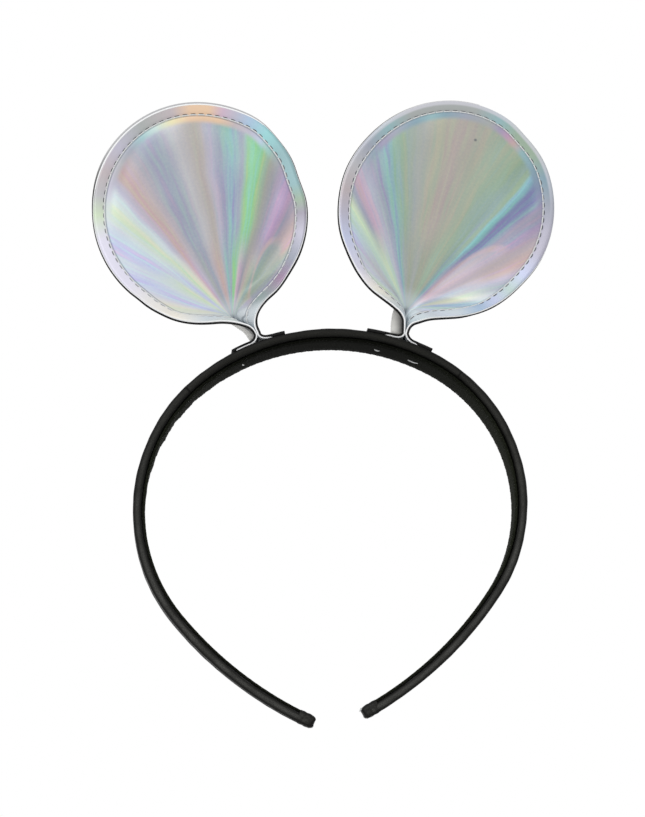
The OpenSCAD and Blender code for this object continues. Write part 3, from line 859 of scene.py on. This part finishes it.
# %% Colours round the ears' rims
# Colours by clock angle from straight up round the ear's middle: first for the puffed arc inside the stitches,
# then for the flat border.
ARC = {
    "left": [(-100, PEARL), (-70, LILAC), (-56, SILVER), (-44, SLATE), (-34, TEAL), (-24, ICE), (-14, STRAW),
             (-3, PEACH), (14, PEACH), (24, ROSE), (34, LILAC), (42, LAVENDER), (50, CYAN), (60, TEAL), (76, GREEN),
             (95, DUSK), (120, DUSK)],
    "right": [(-100, LAVENDER), (-60, TEAL), (-50, SEA), (-40, VIOLET), (-28, SLATE), (-14, SEA), (-4, TEAL),
              (4, SEA), (16, SLATE), (30, GREY), (37, VIOLET), (42, MAGENTA), (48, SALMON), (55, TEAL), (68, SEA),
              (80, INDIGO), (95, VIOLET)],
}
BORDER = {
    "left": [(-180, PEARL), (-165, BLUSH), (-150, WHITE), (-134, HAZE), (-120, HAZE), (-105, HAZE),
             (-90, LEMON), (-78, SILVER), (-64, ROSE), (-48, LILAC), (-30, GREY), (-12, ROSE), (-2, PEACH),
             (8, PEACH), (15, PINK), (22, LILAC), (30, SKY), (42, CYAN), (56, TEAL), (76, TEAL), (86, GREEN),
             (94, DUSK), (106, LILAC), (122, SLATE), (135, PLUM), (150, MOSS), (165, SLATE), (180, PEARL)],
    "right": [(-180, PEARL), (-162, PEARL), (-150, BLUSH), (-137, BLUSH), (-123, HAZE), (-104, LAVENDER),
              (-90, LILAC), (-76, ROSE), (-60, SILVER), (-46, SLATE), (-30, TEAL), (-15, GREY), (0, GREY), (20, GREY),
              (34, TEAL), (46, GREEN), (60, GREEN), (74, SEA), (90, SLATE), (106, LILAC), (120, LILAC), (136, LAVENDER),
              (148, ICE), (158, LAVENDER), (168, SKY), (180, PEARL)],
}
# One long blister of film on each ear: middle, direction, half length and half width, its colours within and at
# its line.
BLISTER = {"left": ((12.5, 21), 45, 13, 4.2, MOSS, SALMON), "right": ((14.5, 28), 41, 18, 6.6, ROSE, SALMON)}
# The needle prick is a painted shade spot, with no dent in the surface.
DIMPLE = (3.5, 79)                 # a needle prick near the right ear's top
print(len(BORDER["left"]), "and", len(BORDER["right"]), "colours round the ears' borders")


# %% Angles and distances on the film
def distance(finish, a, b):
    """The length of a way that goes a across and b up."""
    return math_node(finish, "SQRT", plus(finish, times(finish, a, a), times(finish, b, b)))


def polar(finish, x, y, cx, cy):
    """Angle in degrees, clockwise from straight up, and distance of a point from a centre."""
    dx, dy = minus(finish, x, cx), minus(finish, y, cy)
    return times(finish, math_node(finish, "ARCTAN2", dx, dy), 180 / math.pi), distance(finish, dx, dy)


def by_angle(finish, angle, stops):
    """A ramp whose stops are given in degrees."""
    return ramp(finish, rise(finish, angle, -180.0, 180.0), [((a + 180) / 360, colour) for a, colour in stops])


def between(finish, value, start, full, fall, end):
    """A soft band: it rises from start to full, and falls again from fall to end."""
    return times(finish, fade(finish, value, start, full), fade(finish, value, end, fall))


print("straight up lies at", 180 / 360, "of a ramp by angle")


# %% The blister and the fine rays
def with_blister(finish, name, x, y, colour):
    """Lays the long blister and its brighter line over a colour."""
    (bx, by), turned, long, short, within, line = BLISTER[name]
    sa, ca = math.sin(math.radians(turned)), math.cos(math.radians(turned))
    u, v = minus(finish, x, bx), minus(finish, y, by)
    down = plus(finish, times(finish, u, sa / long), times(finish, v, ca / long))
    across = minus(finish, times(finish, u, ca / short), times(finish, v, sa / short))
    size = distance(finish, down, times(finish, across, plus(finish, 1.15, times(finish, down, -0.35))))
    colour = blend_colour(finish, times(finish, fade(finish, size, 1.1, 0.75), 0.5), colour, within)
    brim = times(finish, between(finish, size, 0.8, 0.95, 0.98, 1.15), fade(finish, across, 0.3, -0.6), 0.5)
    return blend_colour(finish, brim, colour, line)


def rays(finish, angle, reach, fine, long, detail):
    """Random rays that run out from the neck: fine of them to a degree, changing slowly along their length."""
    way = step(finish, "CombineXYZ", {0: times(finish, angle, fine), 1: times(finish, reach, long)}).outputs[0]
    return noise(finish, way, 1.0, detail)


def with_rays_and_grain(finish, place, angle, swept, reach, colour):
    """Lays the film's finest pattern over a colour: rays that turn its hue, rays of light, and a dusty grain."""
    turned_hue = step(finish, "MapRange", {"Value": rays(finish, swept, reach, 0.55, 0.035, 3), "From Min": 0.25,
                                           "From Max": 0.75, "To Min": 0.37, "To Max": 0.63}).outputs[0]
    colour = step(finish, "HueSaturation", {"Hue": turned_hue, "Saturation": 1.15, "Color": colour}).outputs[0]
    light = ramp(finish, rays(finish, angle, reach, 0.42, 0.03, 4),
                 [(0.3, tint(178, 180, 186)), (0.5, tint(188, 188, 188)), (0.7, tint(200, 198, 194))])
    colour = blend_colour(finish, 0.5, colour, light, "SOFT_LIGHT")
    mottle = ramp(finish, noise(finish, place, 1.1, 5, Roughness=0.7),
                  [(0.36, tint(172, 176, 186)), (0.5, tint(188, 188, 188)), (0.64, tint(206, 202, 196))])
    return blend_colour(finish, 0.45, colour, mottle, "SOFT_LIGHT")


print("the left blister is", 2 * BLISTER["left"][2], "mm long")


# %% The neck and the seam's groove
def with_neck_and_groove(finish, name, x, y, reach, inset, from_fold, colour):
    """Pales the neck, paints shade into its crease and into the groove that the thread pulls into the film, and on the
    right ear paints a highlight along the top of the rim and a shade spot for a needle prick.
    """
    pale = math_node(finish, "MAXIMUM", fade(finish, reach, 10.0, 2.5), fade(finish, y, 13.0, 7.0))
    colour = blend_colour(finish, times(finish, pale, 0.6), colour, MIST)
    fold = math_node(finish, "ABSOLUTE", from_fold)
    # Painted shade along the crease where the neck is folded.
    crease = times(finish, fade(finish, fold, 2.2, 0.0), fade(finish, y, 13.0, 10.0), 0.9)
    colour = blend_colour(finish, crease, colour, SHADOW)
    if name == "right":
        # Painted highlight: a pale band along the rim over the right ear's top.
        rim_highlight = times(finish, fade(finish, inset, 1.8, 0.9), fade(finish, y, 50.0, 78.0), 0.75)
        colour = blend_colour(finish, rim_highlight, colour, RIM_HIGHLIGHT)
        # Painted shade: a small dark spot for the needle prick.
        _, off = polar(finish, x, y, *DIMPLE)
        colour = blend_colour(finish, times(finish, fade(finish, off, 0.8, 0.2), 0.7), colour, SHADOW)
    groove = times(finish, between(finish, inset, 4.05, 4.25, 4.4, 4.7), 0.5 if name == "left" else 0.25)
    return blend_colour(finish, groove, colour, SHADOW)


print("the groove lies just inside the stitches, which run", SEAM_INSET, "mm in from the edge")


# %% Film finish
def film_finish(name, ear):
    """One ear's film: streaks, blister, grain, then the arc and the border, and last the neck and the seam."""
    finish = new_finish(name + " rainbow film")
    place, x, y = cloth_place(finish)
    _, inset, from_fold = cloth_place(finish, "edge")
    side = ear["side"]
    angle, reach = polar(finish, x, y, side * ear["fan"][0], ear["fan"][1])
    clock, _ = polar(finish, x, y, side * ear["middle"][0], ear["middle"][1])
    clock = plus(finish, clock, side * ear["lean"])
    sway = times(finish, minus(finish, noise(finish, place, 0.045, 2), 0.5), 4.0)
    swept = plus(finish, angle, sway)

    near, far = STREAKS[name]
    outward = fade(finish, plus(finish, reach, times(finish, sway, 2.0)), 16.0, 34.0)
    colour = blend_colour(finish, outward, by_angle(finish, swept, near), by_angle(finish, swept, far))
    colour = with_blister(finish, name, x, y, colour)
    colour = with_rays_and_grain(finish, place, angle, swept, reach, colour)

    arc = times(finish, fade(finish, inset, 7.6, 5.4), fade(finish, y, 52.0, 72.0))
    colour = blend_colour(finish, arc, colour, by_angle(finish, clock, ARC[name]))
    border = times(finish, fade(finish, inset, 4.3, 3.5), fade(finish, y, 6.0, 14.0))
    colour = blend_colour(finish, border, colour, by_angle(finish, clock, BORDER[name]))
    colour = with_neck_and_groove(finish, name, x, y, reach, inset, from_fold, colour)
    colour = step(finish, "HueSaturation", {"Saturation": 1.1, "Color": colour}).outputs[0]
    surface(finish, Base_Color=colour, Metallic=0.1, Roughness=0.38)
    surface(finish, Specular_IOR_Level=0.3, Coat_Weight=0.05, Coat_Roughness=0.2)
    print(finish.name, "has", len(finish.node_tree.nodes), "nodes")
    return finish


film = {name: film_finish(name, ear) for name, ear in EARS.items()}

# %% [markdown]
# ## Backing, edge and thread
# Behind the film lies black leatherette with a fine pebble grain, whose cut edge shows as a dark line round the lower
# ear and as a grey one over the top, painted lighter where more light falls along it. The leatherette at the back of
# the neck's fold carries a painted reflection. The film is backed with white, the thread is pale and a little fuzzy,
# and the dents that the needle has left are painted as shade. Each is its own short finish, because each has a
# different gloss, and the grain is a pattern of cells used as bump, which is cheaper than real pebbles and just as
# fine.

# %% Backing, edge and thread finishes
leather = new_finish("black leatherette")
place, _, y = cloth_place(leather)
_, _, from_fold = cloth_place(leather, "edge")
grain = step(leather, "TexVoronoi", {"Vector": place, "Scale": 1.6}, feature="DISTANCE_TO_EDGE").outputs[0]
# Painted reflection: the leatherette low on the back of the neck's fold is painted near white, for the light it
# reflects at grazing angles.
painted_loop_reflection = times(leather, fade(leather, y, 12.0, 7.0), fade(leather, y, -0.4, 1.2),
              fade(leather, math_node(leather, "ABSOLUTE", from_fold), 10.5, 5.0))
surface(leather, Base_Color=blend_colour(leather, painted_loop_reflection, tint(20, 20, 20), tint(252, 251, 246)), Roughness=0.36,
        Normal=bump(leather, grain, 0.35, 0.0002))
surface(leather, Specular_IOR_Level=0.25, Coat_Weight=0.05)

cut_edge = new_finish("cut edge")
_, x, y = cloth_place(cut_edge)
height = math_node(cut_edge, "DIVIDE", plus(cut_edge, y, times(cut_edge, x, 0.2)), 100.0)
surface(cut_edge, Base_Color=ramp(cut_edge, height, [(0.64, tint(16, 16, 16)), (0.72, tint(125, 125, 125)),
                                                     (0.8, tint(184, 184, 186))]), Roughness=0.6)
surface(cut_edge, Specular_IOR_Level=0.15)

white_core = new_finish("white backing")
surface(white_core, Base_Color=tint(246, 247, 248), Roughness=0.6)

thread = new_finish("pale thread")
surface(thread, Base_Color=tint(214, 216, 216), Roughness=0.7)

# Painted shade of the needle's dents, by height on each ear: on the left ear darkest over the top, on the right ear
# fairly dark all round.
DENT_SHADE = {"left": [(0.12, tint(186, 188, 192)), (0.45, tint(132, 134, 140)), (0.8, tint(34, 36, 40))],
            "right": [(0.14, tint(84, 86, 96)), (0.4, tint(104, 106, 114)), (0.8, tint(70, 72, 78))]}
shade = {}
for name, stops in DENT_SHADE.items():
    dents = shade[name] = new_finish(name + " painted dent shade")
    height = math_node(dents, "DIVIDE", cloth_place(dents)[2], 100.0)
    surface(dents, Base_Color=ramp(dents, height, stops), Roughness=0.9)
print("finishes:", ", ".join(f.name for f in (leather, cut_edge, white_core, thread, *shade.values())))

# %% [markdown]
# ## The rim
# Seen from the front, an ear's outline is two cut edges that lie almost on each other: the pale film and, just
# behind and outside it, the black backing. A simple solidify would give both a square edge of even width. Here
# each edge is a bead of its own that follows the rim, and it may grow or shrink along the way.

# %% The rim's path
def flat_uv(ear, points):
    """Each point's place on the ear as seen from the front: across to the viewer's right, and up, in millimetres."""
    a = math.radians(ear["lean"]) * ear["side"]
    ox, oz = neck_foot(ear)
    x, z = points[..., 0] - ear["side"] * ox, points[..., 2] - oz
    return np.stack([x * math.cos(a) - z * math.sin(a), x * math.sin(a) + z * math.cos(a)], -1)


def edge_path(grid, normal, offset):
    """The rim from one tab's end over the top to the other's: places, outward and backward directions."""
    right = grid[1][:, -1] + offset * normal[1][:, -1]
    left = grid[-1][:, -1] + offset * normal[-1][:, -1]
    out_r, out_l = (grid[s][:, -1] - grid[s][:, -2] for s in (1, -1))
    places = np.concatenate([right, left[::-1]])
    out = np.concatenate([out_r, out_l[::-1]])
    back = np.concatenate([normal[1][:, -1], normal[-1][::-1, -1]])
    tangent = np.gradient(places, axis=0)
    tangent /= np.linalg.norm(tangent, axis=1, keepdims=True)
    back -= tangent * (back * tangent).sum(1, keepdims=True)
    back /= np.linalg.norm(back, axis=1, keepdims=True)
    side = np.cross(tangent, back)
    side *= np.sign((side * out).sum())
    return places, side, back


def inset_from(rim, points):
    """Distance of each point from the rim, and the nearest rim point's place in the row."""
    tree = KDTree(len(rim))
    for i, p in enumerate(rim):
        tree.insert(p, i)
    tree.balance()
    found = [tree.find(p) for p in points]
    return np.array([(f[2], f[1]) for f in found])


foot = to_band(EARS["right"], np.zeros(3), 0)
print("an ear's neck lies at", np.abs(flat_uv(EARS["right"], foot)).round(3), "on its flat map")


# %% The rim's sections
def oval(cx, cy, rx, ry, n=10):
    """n points round an oval."""
    a = np.linspace(0, 2 * math.pi, n, endpoint=False)
    return np.column_stack([cx + rx * np.cos(a), cy + ry * np.sin(a)])


def bead(places, side, back, profiles):
    """A closed tube along the rim; profiles gives each place's (outward, backward) points."""
    points = np.concatenate([p + np.outer(q[:, 0], s) + np.outer(q[:, 1], b)
                             for p, s, b, q in zip(places, side, back, profiles)])
    return points, loft_faces(len(places), len(profiles[0]))


def rim_profiles(name, layer, up):
    """The bead's section at each place: drawn in where the tabs' ends show white, and fuller over the ear's top."""
    half = len(up) // 2
    place = np.arange(len(up))
    bare = FLAT_ROWS - np.where(place < half, *EARS[name]["white"])
    cover = smooth(bare, bare - 3, np.minimum(place, 2 * half - 1 - place))
    top = smooth(62, 84, up) * (1 if name == "left" else 0.2)
    thin = smooth(10, 16, up) * (place < half) * (0.2 if name == "right" else 0)
    if layer == "front":
        return [oval(-0.1 - 0.7 * c + 0.1 * t, 0.02 - 0.1 * t, 0.21 + 0.06 * c + 0.12 * t, 0.24 + 0.1 * t)
                for c, t in zip(cover, top)]
    return [oval(0.02 + 0.6 * t - h, 0.02 - 0.32 * c, 0.36 + 0.2 * t + 0.04 * c - h, 0.38 + 0.26 * c)
            for c, t, h in zip(cover, top, thin)]


print("each section of a rim has", len(oval(0, 0, 1, 1)), "points")


# %% [markdown]
# ## Pleats and puff
# The film is stitched flat near its rim and pinched hard at the neck, so it puffs up inside the seam and falls in
# soft pleats that fan out from the pinch. Cloth simulation would place the folds where it likes. A short list of
# pleats, each with its direction, height and spread, puts them where the bright streaks are.

# %% Pleats and puff
# Each pleat is (angle from the axis to the viewer's right, height, spread), in degrees and millimetres.
PLEATS = {
    "left": [(-44, 0.3, 6), (-26, 0.5, 6), (-13, -0.4, 5), (0, 0.3, 5), (7, 0.3, 4), (18, -0.35, 5), (31, 0.45, 5),
             (41, -0.45, 4), (49, 0.4, 4), (57, -0.4, 4)],
    "right": [(-56, -0.3, 6), (-43, 0.45, 6), (-34, -0.45, 4), (-20, 0.3, 6), (-6, 0.3, 6), (6, -0.3, 5),
              (15, 0.35, 6), (26, 0.4, 4), (32, -0.45, 4), (43, 0.45, 5), (50, -0.35, 4), (60, 0.35, 5)],
}


def relief(name, flat, inset):
    """How far the film stands forward of a smooth shell, in millimetres."""
    ear = EARS[name]
    dx, dy = flat[:, 0] - ear["side"] * ear["fan"][0], flat[:, 1] - ear["fan"][1]
    angle, reach = np.degrees(np.arctan2(dx, dy)), np.hypot(dx, dy)
    lift = 0.45 * smooth(SEAM_INSET, 14, inset) - 0.16 * np.exp(-((inset - SEAM_INSET) / 0.7) ** 2)
    inside = smooth(4, 9, inset) * smooth(3, 26, reach) * smooth(120, 90, np.abs(angle))
    for centre, height, width in PLEATS[name]:
        lift += inside * 0.8 * height * (reach / 45) * np.exp(-((angle - centre) / width) ** 2)
    lift += inside * 0.05 * (np.sin(flat[:, 0] / 2.3 + 1.3 * np.sin(flat[:, 1] / 5)) + np.sin(flat[:, 1] / 3.1 + 2))
    return lift * smooth(1, 9, flat[:, 1])


for name, pleats in PLEATS.items():
    print(name, "ear:", len(pleats), "pleats")


# %% [markdown]
# ## Ear skins
# Film and backing are two thin sheets with the same outline. Each is built as a shell from its level sections: a
# front face, a rear face and the walls between, with the pleats added to the face that shows. The sheets' own
# flat layout is kept as a map, so that every finish can be laid out in real millimetres.

# %% Ear skins
HALF_GAP = 0.02                        # half the gap between film and backing
skins, rims, trees = {}, {}, {}
for name, ear in EARS.items():
    for layer, near, far, shorter in (("front", -LAYER, -HALF_GAP, 1.2), ("back", HALF_GAP, LAYER, 0.0)):
        halves, tabs = ear_grid(ear, shorter)
        n = ear_normals(ear, halves, tabs)
        places, side, back = edge_path(halves, n, (near + far) / 2)
        front, faces = join_halves({s: halves[s] + near * n[s] for s in halves}, tabs)
        rear, _ = join_halves({s: halves[s] + far * n[s] for s in halves}, tabs)
        ahead, _ = join_halves({s: -n[s] for s in halves}, tabs)
        inset = inset_from(places, (front + rear) / 2)
        if layer == "front":
            front = front + ahead * relief(name, flat_uv(ear, front), inset[:, 0])[:, None]
        else:
            rear = rear - ahead * 0.6 * relief(name, flat_uv(ear, rear), inset[:, 0])[:, None]
        trees[name, layer] = BVHTree.FromPolygons([tuple(p) for p in (front if layer == "front" else rear)], faces)
        points, faces, picks = shell(front, rear, faces)
        rims[name, layer] = places, side, back, tabs
        profiles = rim_profiles(name, layer, flat_uv(ear, places)[:, 1])
        bead_points, bead_faces = bead(places, side, back, profiles)
        faces += [tuple(k + len(points) for k in f) for f in bead_faces]
        picks += [2] * len(bead_faces)
        points = np.concatenate([points, bead_points])
        across = {s: np.linalg.norm(np.diff(halves[s], axis=1, prepend=halves[s][:, :1]), axis=2).cumsum(1)
                  for s in halves}
        inset[:, 1] = join_halves({s: s * np.repeat(across[s][..., None], 3, 2) for s in halves}, tabs)[0][:, 0]
        edge = np.concatenate([inset, inset, np.full((len(bead_points), 2), 30.0)])
        finishes = (film[name], white_core, white_core) if layer == "front" else (leather, leather, cut_edge)
        skin = make_piece(f"{name}_ear_{layer}_skin", points, faces, flat_uv(ear, points), finishes, picks, edge)
        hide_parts(f"{name}_ear_{layer}", f"{name}_ear_{layer}_tabs")
        skins[name, layer] = skin
        print(skin.name, len(points), "points")


# %% [markdown]
# ## Stitches
# A sewing machine has run one seam round each ear, about 4 mm in from the edge. Each stitch is a short tube that rises
# out of one needle hole and dives into the next, on both faces, and a dark dash beside it is painted shade of the dent
# that the thread pulls into the film, darker or paler with height on the ear. At the seam's end the thread is knotted
# with three short turns, which take the same painted shade.
# Real tubes catch the light and cast their tiny shadow, which a painted dashed line doesn't.

# %% Threads and tubes
def seam_path(name, layer, inset=SEAM_INSET):
    """The seam on one face of an ear, from neck to neck: places, ways out of the face and outward, and lengths."""
    places, side, back, tabs = rims[name, layer]
    keep = slice(tabs + 4, len(places) - tabs - 4)
    found = [trees[name, layer].find_nearest(tuple(p)) for p in places[keep] - inset * side[keep]]
    line = np.array([f[0] for f in found])
    away = back[keep] * (-1 if layer == "front" else 1)
    run = np.concatenate([[0], np.cumsum(np.linalg.norm(np.diff(line, axis=0), axis=1))])
    return line, away, side[keep], run


def along(run, values, at):
    """A seam's places or directions at some lengths along it."""
    return np.column_stack([np.interp(at, run, values[:, k]) for k in range(3)])


def tube(path, up, rx, ry, sides=8):
    """A closed tube along path; rx is its half width and ry its half height along up, at each point."""
    tangent = np.gradient(path, axis=0)
    tangent /= np.linalg.norm(tangent, axis=1, keepdims=True)
    across = np.cross(tangent, up)
    across /= np.linalg.norm(across, axis=1, keepdims=True)
    a = np.linspace(0, 2 * math.pi, sides, endpoint=False)
    rx, ry = np.broadcast_to(rx, len(path)), np.broadcast_to(ry, len(path))
    rings = [p + np.outer(x * np.cos(a), c) + np.outer(y * np.sin(a), u)
             for p, c, u, x, y in zip(path, across, up, rx, ry)]
    return np.concatenate(rings), loft_faces(len(path), sides)


def sewn(seam, at, lift, rx, ry, sides=8, aside=0.0):
    """A tube along a seam, lifted off the face and moved aside by so much at each of its lengths."""
    line, away, outward, run = seam
    up = along(run, away, at)
    path = along(run, line, at) + np.reshape(lift, (-1, 1)) * up + aside * along(run, outward, at)
    return tube(path, up, rx, ry, sides)


def gather(parts):
    """Many small meshes as one: all their points and all their faces."""
    points, faces = [], []
    for p, f in parts:
        faces += [tuple(k + sum(map(len, points)) for k in q) for q in f]
        points.append(p)
    return np.concatenate(points), faces


print("the left ear's seam is", round(float(seam_path("left", "front")[3][-1])), "mm long")

# %% Stitches
PITCH = 2.9                                 # from one needle hole to the next
KNOT_AT = {"left": 118, "right": 105}       # clock angles at which the threads are knotted
SECOND_ROW = {"right": (5.0, -35, 62)}      # a short second row of stitches: inset, first and last clock angle
stitched = {}
for name, ear in EARS.items():
    threads, dent_shades = [], []
    for layer in ("front", "back"):
        seam = seam_path(name, layer)
        for start in np.arange(0.5, seam[3][-1] - PITCH, PITCH):
            arch = 0.16 * np.sin(np.linspace(0, np.pi, 9)) ** 0.5 - 0.12
            threads.append(sewn(seam, start + np.linspace(0.12, PITCH - 0.12, 9), arch, 0.24, 0.2))
            # A dark dash beside each stitch, painted shade of the dent that the thread pulls in.
            dent_shades.append(sewn(seam, start + np.linspace(0.5, PITCH - 0.5, 6), 0.02,
                              np.array([0.02, 0.19, 0.23, 0.23, 0.19, 0.02]), 0.05, 6, aside=0.4))
    line, away, outward, run = seam_path(name, "front")
    flat = flat_uv(ear, line)
    clock = np.degrees(np.arctan2(flat[:, 0] - ear["side"] * ear["middle"][0], flat[:, 1] - ear["middle"][1]))
    rising = slice(None, None, -1 if clock[0] > clock[-1] else 1)
    knot = np.interp(KNOT_AT[name], clock[rising], run[rising])
    # The knot's turns take the same painted dent shade.
    for slant in (-0.8, 0.0, 0.7):
        place, up, aside = (along(run, values, [knot])[0] for values in (line, away, outward))
        ahead = along(run, line, [knot + 0.5])[0] - place
        ends = np.linspace(-1, 1, 6)[:, None] * (0.7 * aside * (1 if slant else 0.3) + slant * ahead)
        dent_shades.append(tube(place + 0.2 * up + ends, np.tile(up, (6, 1)), 0.14, 0.12, 6))
    if name in SECOND_ROW:
        inset, *ends = SECOND_ROW[name]
        seam = seam_path(name, "front", inset)
        first, last = sorted(np.interp(ends, clock[rising], np.arange(len(clock))[rising]).astype(int))
        for start in np.arange(seam[3][first], seam[3][last], PITCH):
            arch = 0.1 * np.sin(np.linspace(0, np.pi, 7)) - 0.04
            threads.append(sewn(seam, start + np.linspace(0.3, PITCH - 0.5, 7), arch, 0.16, 0.14))
    threads, dent_shades = gather(threads), gather(dent_shades)
    stitched[name] = (make_piece(name + "_ear_topstitch", *threads, finishes=[thread]),
                      make_piece(name + "_ear_stitch_dent_shade", *dent_shades, flat_uv(ear, dent_shades[0]), [shade[name]]))
    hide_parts(name + "_ear_stitching")
    print(name, "ear's thread has", len(threads[0]), "points")

# %% [markdown]
# ## The ears' pieces in place
# Each ear flops to the side on its pinched neck, and only the first few millimetres above the band bend. Here the skins
# and their thread are only set in place where they were built.


for name, ear in EARS.items():
    for piece in (skins[name, "front"], skins[name, "back"], *stitched[name]):
        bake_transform(piece)

# %% [markdown]
# ## Wrapped tips
# At each tip the satin is folded over the end of the strip and sewn down, which makes a thick, rounded end with a line
# across it. It is one loft that follows the band and closes in over the end, fuller where the folded edges lie, in a
# darker copy of the band's satin whose painted sheen is weaker.

# %% Tip wraps
WRAP_MIDDLE = 1.9                  # depth of the wrap's middle under the band's outer face


def tip_wrap(name, side, last, lumps):
    """The wrap over the band's end at a turn, and the way (x, z) in which it points; lumps is its folds' height."""
    stop = run_at(side * last)
    closing = -1.2 + 2.0 * np.sin(np.linspace(0, 90, 13) * math.pi / 180)[1:]
    runs = np.concatenate([np.linspace(-5.2, -1.2, 14), closing])
    half = half_width(band_point(side * last, 0)[1], side)
    away = np.array(band_point(side * last, WRAP_MIDDLE)) - np.array(band_point(side * (last - 1), WRAP_MIDDLE))
    away /= np.linalg.norm(away)
    points, flat = [], []
    around = np.linspace(0, 2 * math.pi, 40, endpoint=False)
    for r in runs:
        shut = max(0.02, 1 - max(0, (r + 1.2) / 2.001) ** 2.6) ** (1 / 2.2)
        grip = 0.3 * smooth(-5.25, -4.9, r) + 0.06 * math.sin(3 * r)
        turn = turn_at(stop + side * min(r, 0))
        for a in around:
            c, s = math.cos(a), math.sin(a)
            across = (half - 0.1 + grip + 0.06 * math.sin(r * 2.1 + 3 * a)) * math.copysign(abs(c) ** 0.5, c)
            depth = WRAP_MIDDLE + (1.95 + grip) * math.copysign(abs(s) ** 0.6, s) * (0.2 + 0.8 * shut)
            end = lumps * smooth(-1.5, 0.6, r) * (math.exp(-((depth - 0.5) / 0.8) ** 2)
                                                  + 0.7 * math.exp(-((depth - 3.2) / 0.8) ** 2))
            x, z = np.array(band_point(turn, depth)) + (max(r, 0) + end) * away
            points.append((x, across * (0.45 + 0.55 * shut) if r < 0.79 else across * 0.4, z))
            flat.append((stop + side * r, 2.2 * a))
    wrap = make_piece(name, points, loft_faces(len(runs), len(around)), flat, [tip_satin])
    return wrap, away


for arm, side, last, lumps in (("left", -1, 152, 0.5), ("right", 1, 155, 0.3)):
    wrap, away = tip_wrap("tip_wrap_" + arm, side, last, lumps)
    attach(wrap, arm + "_arm")
    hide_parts("tip_cap_" + arm)
    print(wrap.name, len(wrap.data.vertices), "points")

# %% Frayed threads at the right tip
corner = np.array(band_point(155, 3.4)) + 0.6 * away
strands = []
for k in range(4):
    t = np.linspace(0, 1, 6)[:, None]
    start = np.array([corner[0] - 0.12 * k, -2.3 + 0.35 * k, corner[1] - 0.15 * k])
    lift = np.array([away[0] * 0.5 - 0.25, -0.25 + 0.1 * k, away[1] * 0.2 + 0.7 - 0.2 * k])
    path = start + t * lift + t * t * np.array([0.15, 0, -0.15])
    strands.append(tube(path, np.tile((0.0, 1.0, 0.0), (6, 1)), 0.13, 0.1, 6))
fray = make_piece("right_tip_fray", *gather(strands), finishes=[thread])
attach(fray, "right_arm")
print(fray.name, "has", len(strands), "strands")

# %% [markdown]
# ## Tack stitches
# A few stitches go right through tabs and band, and come out on the lining as short pale dashes. Each is a little
# tube that dips into the ribbon at both of its ends.

# %% Tacks
TACKS = {"left": [((-23.6, -2.2), (-23.1, -0.4))],
         "right": [((14.9, -0.5), (16.5, -0.2)), ((24.9, 0.0), (27.9, -0.7))]}
for name, pairs in TACKS.items():
    parts = []
    for (turn_a, across_a), (turn_b, across_b) in pairs:
        t = np.linspace(0, 1, 9)
        path = []
        for k in t:
            turn = turn_a + (turn_b - turn_a) * k
            x, z = band_point(turn, 3.9 + 0.25 * math.sin(math.pi * k))
            path.append((x, across_a + (across_b - across_a) * k, z))
        up = np.array([(-math.sin(math.radians(turn_a)), 0.0, -math.cos(math.radians(turn_a)))] * 9)
        parts.append(tube(np.array(path), up, 0.34 - 0.16 * np.abs(2 * t - 1), 0.22))
    tack = make_piece(name + "_ear_tack_stitch", *gather(parts), finishes=[thread])
    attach(tack, "crown")
    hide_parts(name + "_ear_tacks")
    print(tack.name, len(pairs), "stitches")

# %% [markdown]
# ## What lies inside
# The plastic strip and the glue are hidden by the cloth, but they are there, so they get their own plain finishes:
# moulded black plastic with a faint grain, and cloudy glue painted dark, so that where it shows in the gap under the
# rims it reads as shade.

# %% Strip and glue finishes
plastic = new_finish("spring plastic")
grain = noise(plastic, step(plastic, "TexCoord").outputs["Object"], 900.0, 2)
surface(plastic, Base_Color=tint(38, 38, 39), Roughness=0.5, Normal=bump(plastic, grain, 0.2, 0.0001))

# Painted shade: the glue is dark so that where it shows in the gap under the rims it reads as shade.
glue = new_finish("glue painted dark")
cloud = noise(glue, step(glue, "TexCoord").outputs["Object"], 700.0, 2)
surface(glue, Base_Color=ramp(glue, cloud, [(0.35, tint(22, 21, 18)), (0.65, tint(38, 36, 30))]), Roughness=0.45)

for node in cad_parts:
    solid = bpy.data.objects.get(node)
    kind = plastic if "core" in node else glue if "glue" in node else None
    if solid and kind:
        solid.data.materials.clear()
        solid.data.materials.append(kind)
        print(node, "is", kind.name)
